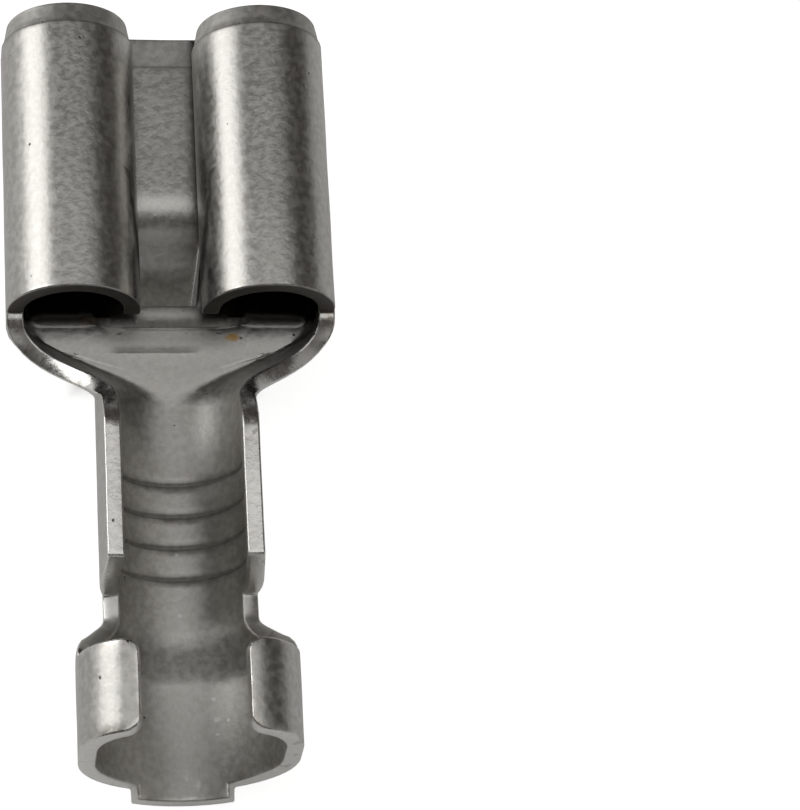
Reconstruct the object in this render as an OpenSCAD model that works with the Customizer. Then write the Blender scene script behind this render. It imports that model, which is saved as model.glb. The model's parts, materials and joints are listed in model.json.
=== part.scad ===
// Female spade terminal for a 6.3 mm tab, folded and rolled from one sheet.
//
// The origin is the middle of the tab slot at the mouth. +Y runs out of the
// mouth, -Y runs to the wire end, +Z is the rolled side and -Z the flat floor.

/* [Sheet] */
// Thickness of the sheet
sheet = 0.4; // [0.32:0.02:0.5]

/* [Mating tab] */
// Width of the tab that the receptacle takes
tab_width = 6.3; // [4.8:0.1:7.5]
// Thickness of the tab that the receptacle takes
tab_thickness = 0.8; // [0.5:0.1:1]
// Clearance between each side of the tab and the side wall
tab_side_clearance = 0.32; // [0.1:0.02:0.6]
// Distance by which each lip presses into the tab's thickness
lip_press = 0.1; // [0:0.02:0.2]

/* [Receptacle] */
// Length of the rolled part, from the mouth to the rear of the curls
receptacle_length = 7.4; // [6.2:0.1:9.5]
// Length of each lip's straight end, below the middle of the curl
lip_leg = 0.19; // [0.1:0.01:0.6]
// Width of the open strip between the two curls
curl_gap = 1.45; // [0.8:0.05:2]
// Outer radius of the bend from the floor to the side wall
bend_outer = 0.85; // [0.6:0.05:1.1]
// Half width of the raised panel in the floor
panel_half_width = 2.3; // [1.8:0.05:2.6]
// Height of the raised panel above the rest of the floor
panel_rise = 0.14; // [0.05:0.01:0.2]
// Distance from the raised panel's rear edge to the rear of the curls
panel_setback = 0.15; // [0.05:0.05:0.4]
// Radius of the rear corners of the raised panel
panel_corner = 1.1; // [0.5:0.1:1.5]

/* [Mouth] */
// Length of the coined band round the mouth
mouth_band = 0.55; // [0.2:0.05:0.9]
// Depth of the coined band at the mouth's edge
mouth_depth = 0.13; // [0.04:0.01:0.15]

/* [Carrier stubs] */
// Width of the stub in front of the mouth
front_stub_width = 2.1; // [1.5:0.1:3]
// Length of the stub in front of the mouth
front_stub_length = 0.22; // [0.1:0.02:0.5]
// Thickness of the stub in front of the mouth, which is coined thinner than the sheet
front_stub_thickness = 0.28; // [0.2:0.02:0.34]
// Width of the stub behind the insulation barrel
rear_stub_width = 2.24; // [1.5:0.02:2.6]
// Length of the stub behind the insulation barrel
rear_stub_length = 0.34; // [0.1:0.02:0.6]

/* [Floor slots] */
// Width of each slot across the floor, along the terminal
slot_width = 0.68; // [0.4:0.02:0.9]
// Distance from the middle of the front pair of slots to that of the rear pair
slot_pitch = 2.43; // [1.5:0.01:2.5]
// Half width of the floor that is left between the front pair of slots
slot_inner_x = 1.05; // [0.8:0.05:1.4]
// Distance from the middle to the outer end of each slot
slot_outer_x = 3.45; // [3:0.05:3.6]
// Height to which the slots cut the bends, over the lowest face
slot_rise = 0.8; // [0.6:0.02:0.84]

/* [Locking tongue] */
// Distance from the tongue's window to the rear of the curls
window_setback = 0.53; // [0.4:0.01:0.9]
// Distance from the tongue's root back to the front edge of the rear pair of slots
tongue_root_lead = 0.06; // [0.04:0.02:0.3]
// Length of the tongue along its own slope
tongue_length = 2.9; // [2.2:0.1:3.1]
// Slope of the tongue below the floor, in degrees
tongue_angle = 35; // [20:1:42]
// Width of the tongue at its root
tongue_root_width = 2; // [1.8:0.05:2.2]
// Width of the tongue at its tip
tongue_tip_width = 1.36; // [1:0.02:1.7]
// Inner radius of the bend at the tongue's root
tongue_bend = 0.3; // [0.1:0.05:0.5]
// Radius of the tongue's tip corners
tongue_corner = 0.16; // [0.05:0.01:0.3]
// Gap between the tongue and its window
window_gap = 0.02; // [0.01:0.01:0.06]

/* [Shoulder] */
// Distance from the rear of the curls to the start of the shoulder
shoulder_setback = 0.55; // [0.4:0.05:0.9]
// Length of the shoulder, in which the width falls to the conductor barrel's
shoulder_length = 2.35; // [2:0.05:3]
// Distance by which the floor drops from the receptacle to the conductor barrel
neck_drop = 0.3; // [0:0.02:0.5]
// Distance from the end of the floor's drop to the conductor barrel
neck_level = 0.6; // [0.2:0.05:1]
// Height of the low wall round the shoulder, over the lowest face
shoulder_wall = 1.05; // [0.95:0.05:1.9]
// Distance into the shoulder at which its wall is down to that height
shoulder_wall_fall = 0.35; // [0:0.05:0.6]
// Length in which the wall then rises to the conductor wings
shoulder_wall_rise = 1.3; // [0.6:0.05:1.6]

/* [Conductor barrel] */
// Length of the conductor barrel
conductor_length = 4; // [3.4:0.1:6]
// Inner radius of the conductor barrel's trough
conductor_radius = 1.48; // [1.1:0.02:1.6]
// Inward lean of the conductor wings, in degrees
conductor_lean = 6; // [0:0.5:9]
// Height of the conductor wings over the trough's axis
conductor_wing = 1.46; // [1:0.02:2]
// Distance by which each conductor wing's rear edge slopes forward
conductor_wing_slope = 0.3; // [0:0.05:0.6]
// Distance from the conductor barrel's middle back to the middle of the serrations
serration_lag = 0.15; // [-0.2:0.05:0.3]
// Distance from one serration to the next
serration_pitch = 0.78; // [0.6:0.02:0.85]
// Width of each serration
serration_width = 0.13; // [0.08:0.01:0.2]
// Depth of each serration
serration_depth = 0.07; // [0.03:0.01:0.12]
// Height to which the serrations run up the wings, over the trough's axis
serration_rise = 0.9; // [0.2:0.05:1]

/* [Insulation barrel] */
// Distance from the conductor barrel to the insulation barrel's round part
flare_length = 1.6; // [1.3:0.05:2.4]
// Distance behind the conductor barrel at which the trough starts to widen
flare_lead = 0.1; // [0:0.05:0.4]
// Length of the insulation barrel's round part
insulation_length = 2.6; // [2.2:0.1:3.4]
// Inner radius of the insulation barrel
insulation_radius = 2.1; // [1.85:0.05:2.5]
// Distance by which the insulation barrel hangs below the conductor barrel
insulation_drop = 0.35; // [0:0.05:0.5]
// Distance by which the insulation wings' rear edges slope forward
insulation_rear_slope = 0.2; // [0:0.05:0.4]
// Angle of the opening between the insulation wings, in degrees
insulation_opening = 64; // [40:2:90]
// Distance from the round part's front to the front of its wings
insulation_wing_setback = 0.3; // [0.1:0.05:0.6]
// Radius of the insulation wings' corners
wing_corner = 0.32; // [0.1:0.01:0.4]

/* [Notch between the barrels] */
// Height of the low wall between the barrels, over the conductor trough's lowest face
notch_wall = 1.35; // [0.8:0.05:1.5]
// Length of the notch's level bottom
notch_length = 0.5; // [0.3:0.05:0.7]

/* [Hidden] */
// Number of facets of each full circle, fine enough to look round
$fn = 96;
// Overlap that makes two solids join, and distance by which a cutter sticks out
join = 0.02;
past = 1;

// Receptacle's section
half_width = tab_width / 2 + tab_side_clearance + sheet;
panel_top = -tab_thickness / 2;
floor_top = panel_top - panel_rise;
floor_bottom = floor_top - sheet;
curl_outer = (2 * half_width - curl_gap) / 4;
curl_x = half_width - curl_outer;
lip_z = tab_thickness / 2 - lip_press;
curl_z = lip_z + lip_leg;
bend_x = half_width - bend_outer;
bend_z = floor_bottom + bend_outer;
panel_length = receptacle_length - panel_setback;
tongue_root_y = receptacle_length - window_setback - tongue_length;
rear_slot_y = tongue_root_y + tongue_root_lead + slot_width / 2;
front_slot_y = rear_slot_y - slot_pitch;

// Distances from the mouth
shoulder_start = receptacle_length + shoulder_setback;
conductor_front = shoulder_start + shoulder_length;
conductor_end = conductor_front + conductor_length;
insulation_front = conductor_end + flare_length;
insulation_end = insulation_front + insulation_length;
serration_middle = (conductor_front + conductor_end) / 2 + serration_lag;

// Barrels
conductor_outer = conductor_radius + sheet;
conductor_bottom = floor_bottom - neck_drop;
conductor_z = conductor_bottom + conductor_outer;
conductor_middle_radius = conductor_radius + sheet / 2;
insulation_outer = insulation_radius + sheet;
insulation_bottom = conductor_bottom - insulation_drop;
insulation_z = insulation_bottom + insulation_outer;

// Angle from the lowest line to the wall's top edge where the flare meets the barrel
flare_reach = 104;

// Each blended surface runs into its neighbours by embed, and is thinner by inset
// on each side and lower by embed at its lips, so that its ends lie inside them
embed = 0.06;
inset = 0.012;

// Number of strips across and along each blended surface
blend_across = 17;
shoulder_along = 20;
flare_along = 10;

// Eases from 0 at t = 0 to 1 at t = 1, level at both ends
function ease(t) = let (s = min(1, max(0, t))) s * s * (3 - 2 * s);
function mix(a, b, s) = a + (b - a) * s;

// A folded section, followed from its middle (u = 0) to its lip (u = 1):
// a level floor, a bend of angle reach, then a straight wall of length wall.
// Equal steps of u are equal steps along it, twice as fine round the bend.
function section_point(u, flat, radius, reach, wall, bottom) =
    let (
        bend = 2 * radius * reach * PI / 180,
        s = u * (flat + bend + wall),
        turn = reach * min(1, max(0, (s - flat) / bend)),
        rise = max(0, s - flat - bend)
    )
    [
        min(s, flat) + radius * sin(turn) + rise * cos(reach),
        bottom + radius * (1 - cos(turn)) + rise * sin(reach)
    ];

// Shortest straight wall that a folded section keeps at its lip
least_wall = 0.15;

// Middle surface of the shoulder, at u across and distance d from the mouth
function shoulder_point(u, d) =
    let (
        narrow = ease((d - shoulder_start) / shoulder_length),
        behind = d - receptacle_length,
        fall = ease(behind / (shoulder_setback + shoulder_length - neck_level)),
        lower = ease(behind / (shoulder_setback + shoulder_wall_fall)),
        rise = ease(1 + (d - conductor_front) / shoulder_wall_rise),
        middle = mix(half_width - sheet / 2, conductor_middle_radius, narrow),
        radius = mix(bend_outer - sheet / 2, conductor_middle_radius, narrow),
        bottom = mix(floor_bottom, conductor_bottom, fall) + sheet / 2,
        low_top = floor_bottom + shoulder_wall,
        end_top = conductor_z + conductor_wing - embed,
        top = mix(mix(curl_z, low_top, lower), end_top, rise),
        most_reach = 90 + conductor_lean * narrow,
        bend_part = min(1.2, (top - bottom - least_wall) / radius),
        reach = min(most_reach, acos(1 - bend_part)),
        wall = (top - bottom - radius * (1 - cos(reach))) / sin(reach),
        point = section_point(abs(u), middle - radius, radius, reach, wall, bottom)
    )
    [sign(u) * point[0], -d, point[1]];

// Middle surface of the flare between the barrels
function flare_point(u, d) =
    let (
        behind = d - conductor_end,
        grow = ease((behind - flare_lead) / (flare_length - flare_lead)),
        rise = ease((behind - notch_length) / (flare_length - notch_length)),
        radius = mix(conductor_middle_radius, insulation_radius + sheet / 2, grow),
        axis_z = mix(conductor_z, insulation_z, grow),
        low_reach = acos(1 - (notch_wall - embed) / conductor_outer),
        reach = mix(low_reach, flare_reach, rise) * u
    )
    [radius * sin(reach), -d, axis_z - radius * cos(reach)];

function unit(v) = v / norm(v);

// Skin of a middle surface, given as rows of points with one row per distance:
// each point is moved along the surface's own normal by offset
function skin(rows, offset) =
    let (last_row = len(rows) - 1, last = len(rows[0]) - 1)
    [
        for (i = [0 : last_row]) [
            for (j = [0 : last])
                let (
                    across = rows[i][min(j + 1, last)] - rows[i][max(j - 1, 0)],
                    along = i == 0 || i == last_row ? [0, -1, 0]
                        : rows[i + 1][j] - rows[i - 1][j]
                )
                rows[i][j] + offset * unit(cross(across, along))
        ]
    ];

// Closed solid between two skins of the same size
module sheet_between(upper, lower) {
    rows = len(upper);
    columns = len(upper[0]);
    points = [for (grid = [upper, lower], row = grid, p = row) p];
    below = rows * columns;
    faces = [
        for (i = [0 : rows - 2], j = [0 : columns - 2])
            let (a = i * columns + j, b = a + 1, c = a + columns + 1, d = a + columns)
            each [
                [a, b, c], [a, c, d],
                [below + a, below + c, below + b], [below + a, below + d, below + c]
            ],
        for (j = [0 : columns - 2], i = [0, rows - 1])
            let (a = i * columns + j, b = a + 1)
            each i == 0
                ? [[a, below + b, b], [a, below + a, below + b]]
                : [[a, b, below + b], [a, below + b, below + a]],
        for (i = [0 : rows - 2], j = [0, columns - 1])
            let (a = i * columns + j, d = a + columns)
            each j == 0
                ? [[a, d, below + d], [a, below + d, below + a]]
                : [[a, below + d, d], [a, below + a, below + d]]
    ];
    polyhedron(points, faces);
}

// Extrudes an outline drawn in X and Z from the distance from to the distance to
module along_terminal(from, to) {
    translate([0, -from, 0]) rotate([90, 0, 0]) linear_extrude(to - from) children();
}

// Extrudes an outline drawn in Y and Z across the terminal
module across_terminal(width) {
    rotate([90, 0, 90]) linear_extrude(width, center = true) children();
}

module both_sides() {
    children();
    mirror([1, 0, 0]) children();
}

module ring(outer, inner) {
    difference() {
        circle(outer);
        circle(inner);
    }
}

// Half of the receptacle's section: floor, bend, side wall, curl and lip
module receptacle_half() {
    translate([-join, floor_bottom]) square([bend_x + join, sheet]);
    intersection() {
        translate([bend_x, bend_z]) ring(bend_outer, bend_outer - sheet);
        translate([bend_x - join, floor_bottom - past]) square([bend_outer + past, bend_outer + past]);
    }
    translate([half_width - sheet, bend_z - join]) square([sheet, curl_z - bend_z + 2 * join]);
    intersection() {
        translate([curl_x, curl_z]) ring(curl_outer, curl_outer - sheet);
        translate([curl_x - curl_outer - past, curl_z]) square([2 * (curl_outer + past), curl_outer + past]);
    }
    translate([curl_x - curl_outer, lip_z]) square([sheet, curl_z - lip_z + join]);
}

module receptacle_body() {
    along_terminal(0, receptacle_length) both_sides() receptacle_half();
}

// Outline of the raised panel in plan, with its rear corners rounded
module panel_plan() {
    straight = panel_length - panel_corner;
    translate([-panel_half_width, -straight]) square([2 * panel_half_width, straight + past]);
    translate([-panel_half_width + panel_corner, -panel_length])
        square([2 * (panel_half_width - panel_corner), panel_length]);
    for (side = [-1, 1])
        translate([side * (panel_half_width - panel_corner), -straight]) circle(panel_corner);
}

// Raised panel: a pad on the floor's upper face
module panel_pad() {
    intersection() {
        translate([0, 0, floor_top - join]) linear_extrude(panel_rise + join) panel_plan();
        translate([-half_width, -receptacle_length, floor_bottom])
            cube([2 * half_width, receptacle_length, bend_outer]);
    }
}

// Raised panel: the matching hollow in the floor's lower face
module panel_hollow() {
    translate([0, 0, floor_bottom - past]) linear_extrude(panel_rise + past) panel_plan();
}

// Plan of a pair of slots, from inner_x out to a round end in the bends
module slot_plan(y, inner_x) {
    radius = slot_width / 2;
    both_sides() {
        translate([inner_x, -y - radius]) square([slot_outer_x - radius - inner_x, slot_width]);
        translate([slot_outer_x - radius, -y]) circle(radius);
    }
}

// Two pairs of slots through the floor and the bends; the rear pair opens beside the tongue
module floor_slots() {
    translate([0, 0, floor_bottom - past])
        linear_extrude(past + slot_rise) {
            slot_plan(front_slot_y, slot_inner_x);
            difference() {
                slot_plan(rear_slot_y, 0);
                tongue_plan(tongue_length, 0);
            }
        }
}

// Outline of the tongue in plan, from its root; grow widens it to the window
module tongue_plan(length, grow) {
    root = tongue_root_width / 2 + grow;
    tip = tongue_tip_width / 2 + grow;
    translate([0, -tongue_root_y]) {
        polygon([
            [-root, 0], [root, 0],
            [tip, tongue_corner - length], [tip - tongue_corner, -length],
            [tongue_corner - tip, -length], [-tip, tongue_corner - length]
        ]);
        for (side = [-1, 1])
            translate([side * (tip - tongue_corner), tongue_corner - length]) circle(tongue_corner);
    }
}

module tongue_window() {
    translate([0, 0, floor_bottom - past])
        linear_extrude(past + panel_top - floor_bottom + past / 2)
            tongue_plan(tongue_length, window_gap);
}

// Tongue: bent down out of the floor at its root, then straight to its tip
module tongue() {
    bend_z = panel_top - sheet - tongue_bend;
    reach = tongue_length * cos(tongue_angle) + 2 * sheet;
    intersection() {
        across_terminal(tongue_root_width) {
            translate([-tongue_root_y, bend_z]) {
                intersection() {
                    ring(tongue_bend + sheet, tongue_bend);
                    polygon([[0, 0], [join, 1], [-tan(tongue_angle + 2), 1]]);
                }
                rotate(tongue_angle) translate([-tongue_length, tongue_bend]) square([tongue_length, sheet]);
                translate([0, tongue_bend]) square([2 * sheet, sheet]);
            }
        }
        translate([0, 0, floor_bottom - tongue_length]) linear_extrude(2 * tongue_length) {
            tongue_plan(reach, 0);
            translate([-tongue_root_width / 2, -tongue_root_y - join]) square([tongue_root_width, 1]);
        }
    }
}

// Space outside a cone that narrows towards the mouth, within a box from low to high
module coined_round(radius, low, high) {
    rotate([90, 0, 0]) difference() {
        translate([low[0], low[1], -past]) cube([high[0] - low[0], high[1] - low[1], past + mouth_band]);
        translate([0, 0, -past - join]) cylinder(r = radius - mouth_depth, h = past + 2 * join);
        cylinder(r1 = radius - mouth_depth, r2 = radius, h = mouth_band + join);
    }
}

// Coined band: the outer faces slope in towards the mouth's edge
module mouth_cutter() {
    both_sides() {
        translate([curl_x, 0, curl_z])
            coined_round(curl_outer, [-2 * curl_outer, 0], [2 * curl_outer, 2 * curl_outer]);
        translate([bend_x, 0, bend_z])
            coined_round(bend_outer, [0, -2 * bend_outer], [2 * bend_outer, 0]);
        translate([0, 0, bend_z]) linear_extrude(curl_z - bend_z)
            polygon([
                [half_width - mouth_depth, past], [half_width - mouth_depth, 0],
                [half_width, -mouth_band], [half_width + past, -mouth_band], [half_width + past, past]
            ]);
    }
    across_terminal(2 * bend_x)
        polygon([
            [past, floor_bottom + mouth_depth], [0, floor_bottom + mouth_depth],
            [-mouth_band, floor_bottom], [-mouth_band, floor_bottom - past], [past, floor_bottom - past]
        ]);
}

// Stub of the carrier strip, left where the terminal was cut off it
module front_stub() {
    translate([
        -front_stub_width / 2, -mouth_band, panel_top - (sheet + front_stub_thickness) / 2
    ])
        cube([front_stub_width, mouth_band + front_stub_length, front_stub_thickness]);
}

module receptacle() {
    difference() {
        union() {
            difference() {
                receptacle_body();
                panel_hollow();
                mouth_cutter();
            }
            panel_pad();
            front_stub();
        }
        floor_slots();
        tongue_window();
    }
    tongue();
}

module shoulder() {
    start = receptacle_length - embed;
    end = conductor_front + embed;
    rows = [
        for (i = [0 : shoulder_along]) [
            for (j = [-blend_across : blend_across])
                shoulder_point(j / blend_across, mix(start, end, i / shoulder_along))
        ]
    ];
    sheet_between(skin(rows, inset - sheet / 2), skin(rows, sheet / 2 - inset));
}

// Section of a trough with two wings that lean in
module trough(inner, thickness, lean, wing) {
    outer = inner + thickness;
    both_sides() rotate(lean) {
        intersection() {
            ring(outer, inner);
            translate([-outer, -outer]) square([2 * outer, outer]);
        }
        translate([inner, -join]) square([thickness, wing + join]);
    }
}

// Side view of the conductor barrel, with its wings' rear edges sloped
module conductor_side() {
    low = conductor_bottom + notch_wall;
    top = conductor_z + conductor_wing;
    polygon([
        [-conductor_front, conductor_bottom], [-conductor_end, conductor_bottom],
        [-conductor_end, low], [-conductor_end + conductor_wing_slope, top],
        [-conductor_front, top]
    ]);
}

module serrations() {
    for (i = [-1.5 : 1.5]) {
        start = serration_middle + i * serration_pitch - serration_width / 2;
        along_terminal(start, start + serration_width)
            trough(conductor_radius - 0.1, serration_depth + 0.1, conductor_lean, serration_rise);
    }
}

module conductor_barrel() {
    difference() {
        intersection() {
            translate([0, 0, conductor_z]) along_terminal(conductor_front, conductor_end)
                trough(conductor_radius, sheet, conductor_lean, conductor_wing + sheet);
            across_terminal(3 * conductor_outer) conductor_side();
        }
        translate([0, 0, conductor_z]) serrations();
    }
}

module flare() {
    start = conductor_end - embed;
    end = insulation_front + embed;
    rows = [
        for (i = [0 : flare_along]) [
            for (j = [-blend_across : blend_across])
                flare_point(j / blend_across, mix(start, end, i / flare_along))
        ]
    ];
    sheet_between(skin(rows, inset - sheet / 2), skin(rows, sheet / 2 - inset));
}

// Side view of the space in front of the insulation wings
module wing_trim_side() {
    low = insulation_z - insulation_outer * cos(flare_reach) + embed;
    front = -insulation_front - insulation_wing_setback;
    polygon([
        [front, low + 2 * insulation_outer], [front, low + insulation_wing_setback],
        [-insulation_front, low], [past - insulation_front, low],
        [past - insulation_front, low + 2 * insulation_outer]
    ]);
}

// Side view of the space behind the insulation wings, whose rear edges slope forward
module wing_rear_side() {
    top = insulation_z + insulation_outer;
    polygon([
        [-insulation_end, insulation_z], [-insulation_end + insulation_rear_slope, top],
        [-insulation_end + insulation_rear_slope, top + past], [-insulation_end - past, top + past],
        [-insulation_end - past, insulation_z]
    ]);
}

// Plan of the space outside a round corner whose faces meet at the origin
module outside_corner(radius) {
    difference() {
        translate([-radius, -radius]) square(2 * radius);
        translate([radius, radius]) circle(radius);
        translate([radius, 0]) square(2 * radius);
        translate([0, radius]) square(2 * radius);
    }
}

// Spaces that round the four corners of the insulation wings' tips. Each bites into
// the tip by inset, because a round that only touches the tip's edge is no clean cut.
module wing_corners() {
    tip_x = insulation_radius * sin(insulation_opening / 2) + inset;
    front = -insulation_front - insulation_wing_setback;
    rear = -insulation_end + insulation_rear_slope * cos(insulation_opening / 2);
    translate([0, 0, insulation_z]) linear_extrude(2 * insulation_outer) both_sides() {
        translate([tip_x, rear]) outside_corner(wing_corner);
        translate([tip_x, front]) mirror([0, 1]) outside_corner(wing_corner);
    }
}

module insulation_section() {
    lip = 2 * insulation_outer * [sin(insulation_opening / 2), cos(insulation_opening / 2)];
    difference() {
        ring(insulation_outer, insulation_radius);
        polygon([[0, 0], lip, [-lip[0], lip[1]]]);
    }
}

module insulation_barrel() {
    difference() {
        translate([0, 0, insulation_z]) along_terminal(insulation_front, insulation_end) insulation_section();
        across_terminal(3 * insulation_outer) {
            wing_trim_side();
            wing_rear_side();
        }
        wing_corners();
    }
}

// Stub of the carrier strip at the wire end, curved like the barrel's bottom
module rear_stub() {
    translate([0, 0, insulation_z])
        along_terminal(insulation_end - join, insulation_end + rear_stub_length)
            intersection() {
                ring(insulation_outer, insulation_radius);
                translate([-rear_stub_width / 2, -insulation_outer])
                    square([rear_stub_width, insulation_outer]);
            }
}

module terminal() {
    color([0.72, 0.71, 0.69]) {
        receptacle();
        shoulder();
        conductor_barrel();
        flare();
        insulation_barrel();
        rear_stub();
    }
}

terminal();
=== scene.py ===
"""Looks of a female spade terminal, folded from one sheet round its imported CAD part.

The sheet is worked in millimetres on a bench: it is rolled, pierced, lanced and drawn
as a middle surface, mirrored, thickened, rounded along its sheared edges and pressed
with its fine details. Then it is brought to metres and dressed in its finishes.
+Y runs out of the mouth, -Y to the wire end, +Z is the rolled side.
"""

import json
import logging
import math
from dataclasses import dataclass
from enum import Enum
from typing import Callable

import bmesh
import bpy
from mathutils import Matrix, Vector, kdtree, noise


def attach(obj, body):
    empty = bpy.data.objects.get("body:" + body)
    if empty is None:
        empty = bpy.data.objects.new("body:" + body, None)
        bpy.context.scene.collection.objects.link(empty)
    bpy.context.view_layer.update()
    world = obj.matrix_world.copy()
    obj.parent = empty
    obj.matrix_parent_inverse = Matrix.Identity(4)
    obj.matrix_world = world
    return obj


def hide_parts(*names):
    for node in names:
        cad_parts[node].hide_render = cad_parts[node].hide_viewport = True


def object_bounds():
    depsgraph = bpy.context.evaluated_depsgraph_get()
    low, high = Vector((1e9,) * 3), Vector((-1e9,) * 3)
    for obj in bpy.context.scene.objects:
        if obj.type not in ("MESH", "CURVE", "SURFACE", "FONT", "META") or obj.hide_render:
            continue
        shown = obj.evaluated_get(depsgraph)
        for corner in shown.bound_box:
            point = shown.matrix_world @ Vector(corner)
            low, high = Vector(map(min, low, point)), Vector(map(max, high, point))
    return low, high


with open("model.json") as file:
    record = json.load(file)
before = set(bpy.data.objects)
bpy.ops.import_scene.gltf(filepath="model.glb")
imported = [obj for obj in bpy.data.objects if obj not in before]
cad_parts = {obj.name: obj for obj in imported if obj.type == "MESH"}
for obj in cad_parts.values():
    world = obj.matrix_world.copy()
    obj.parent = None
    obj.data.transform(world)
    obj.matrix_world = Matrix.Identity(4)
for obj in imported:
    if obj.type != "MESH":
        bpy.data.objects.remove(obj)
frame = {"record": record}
CAD_LOW, CAD_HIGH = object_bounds()

MM = 0.001
SHEET = 0.4
HALF_SHEET = SHEET / 2
# Two places less than this far apart are the same.
CLOSE = 1e-4
# A point less than this far above the floor's middle surface belongs to the floor.
ON_FLOOR = 0.3
CORNER_SEGMENTS = 4

Test = Callable[[Vector], bool]
Shift = Callable[[Vector], Vector]
Pair = tuple[float, float]
Triple = tuple[float, float, float]

logging.basicConfig(level=logging.INFO, format="%(levelname)s %(message)s")
log = logging.getLogger("terminal")


class Pick(Enum):
    """Kinds of mesh element that the bench selects."""

    POINTS = "VERT"
    EDGES = "EDGE"
    FACES = "FACE"


def ease(t: float) -> float:
    """Goes from 0 at t = 0 to 1 at t = 1, level at both ends."""
    s = min(1.0, max(0.0, t))
    return s * s * (3 - 2 * s)


def mix(a: float, b: float, share: float) -> float:
    """Returns the value that lies a share of the way from a to b."""
    return a + (b - a) * share


def same(a: float, b: float) -> bool:
    """Says whether two places are the same."""
    return abs(a - b) < CLOSE


def spread(marks: list[float], step: float) -> list[float]:
    """Fills the gaps between marks with even steps.

    Args:
        marks: places that must be in the result, in rising order.
        step: largest distance between neighbours in the result.

    Returns:
        All the places, in rising order.
    """
    places = [marks[0]]
    for start, end in zip(marks, marks[1:]):
        count = max(1, math.ceil((end - start) / step - CLOSE))
        places += [mix(start, end, i / count) for i in range(1, count + 1)]
    return places


class Bench:
    """One sheet under work in edit mode, in millimetres."""

    def __init__(self, name: str, low: Vector, high: Vector) -> None:
        """Lays a level rectangle and opens it for work.

        Args:
            name: name of the piece.
            low: corner of the rectangle with the lowest x and y.
            high: opposite corner.
        """
        bpy.ops.object.select_all(action="DESELECT")
        bpy.ops.mesh.primitive_plane_add(size=1, location=(0, 0, 0))
        self.piece = bpy.context.active_object
        self.piece.name = name
        self.piece.data.name = name
        bpy.ops.object.mode_set(mode="EDIT")
        size = high - low
        bpy.ops.transform.resize(value=(size.x, size.y, 1), center_override=(0, 0, 0))
        bpy.ops.transform.translate(value=(low + high) / 2)
        self.mesh().verts.layers.float.new("across")

    def mesh(self) -> bmesh.types.BMesh:
        """Returns the mesh under work."""
        return bmesh.from_edit_mesh(self.piece.data)

    def choose(self, pick: Pick, test: Test) -> None:
        """Selects the elements whose every corner passes the test.

        Args:
            pick: kind of element.
            test: says yes or no to a corner's place.
        """
        bpy.ops.mesh.select_mode(type=pick.value)
        bpy.ops.mesh.select_all(action="DESELECT")
        mesh = self.mesh()
        if pick is Pick.POINTS:
            chosen = [v for v in mesh.verts if test(v.co)]
        else:
            items = mesh.edges if pick is Pick.EDGES else mesh.faces
            chosen = [i for i in items if all(test(v.co) for v in i.verts)]
        for item in chosen:
            item.select_set(True)
        bmesh.update_edit_mesh(self.piece.data)

    def delete_faces(self, test: Test) -> None:
        """Deletes the faces whose every corner passes the test."""
        self.choose(Pick.FACES, test)
        bpy.ops.mesh.delete(type="FACE")

    def round_corners(self, test: Test, size: float) -> None:
        """Rounds off the corners of the outline that pass the test.

        Args:
            test: says yes or no to a corner's place.
            size: how far from the corner the round starts.
        """
        self.choose(Pick.POINTS, test)
        bpy.ops.mesh.bevel(
            affect="VERTICES", offset=size, offset_type="OFFSET", segments=CORNER_SEGMENTS
        )

    def spin(self, centre: Pair, degrees: float, steps: int) -> None:
        """Rolls the selected edges round an axis that runs along the terminal.

        Args:
            centre: x and z of the axis.
            degrees: angle, from the floor up the right-hand side.
            steps: number of strips.
        """
        bpy.ops.mesh.spin(
            steps=steps,
            angle=math.radians(degrees),
            center=(centre[0], 0, centre[1]),
            axis=(0, 1, 0),
        )

    def extrude(self, move: Triple) -> None:
        """Extrudes the selected edges by a straight move."""
        bpy.ops.mesh.extrude_region_move(TRANSFORM_OT_translate={"value": move})

    def cut(self, place: Triple, normal: Triple) -> None:
        """Cuts the selected faces by a plane, and keeps both sides."""
        bpy.ops.mesh.bisect(plane_co=place, plane_no=normal, threshold=CLOSE)

    def move(self, shift: Shift) -> None:
        """Moves every point.

        Args:
            shift: gives the move for a point's place.
        """
        for point in self.mesh().verts:
            point.co += shift(point.co)
        bmesh.update_edit_mesh(self.piece.data)

    def add_row(self, distance: float, place: Callable[[float], Pair]) -> None:
        """Extrudes the selected edges to a new row and lays it on a section.

        Args:
            distance: distance of the new row from the mouth.
            place: gives x and z for a point's distance across the blank.
        """
        self.extrude((0, -0.05, 0))
        mesh = self.mesh()
        across = mesh.verts.layers.float["across"]
        for point in mesh.verts:
            if point.select:
                x, z = place(point[across])
                point.co = (x, -distance, z)
        bmesh.update_edit_mesh(self.piece.data)

    def close(self) -> bpy.types.Object:
        """Ends the work in edit mode and returns the piece."""
        bpy.ops.object.mode_set(mode="OBJECT")
        return self.piece


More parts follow.
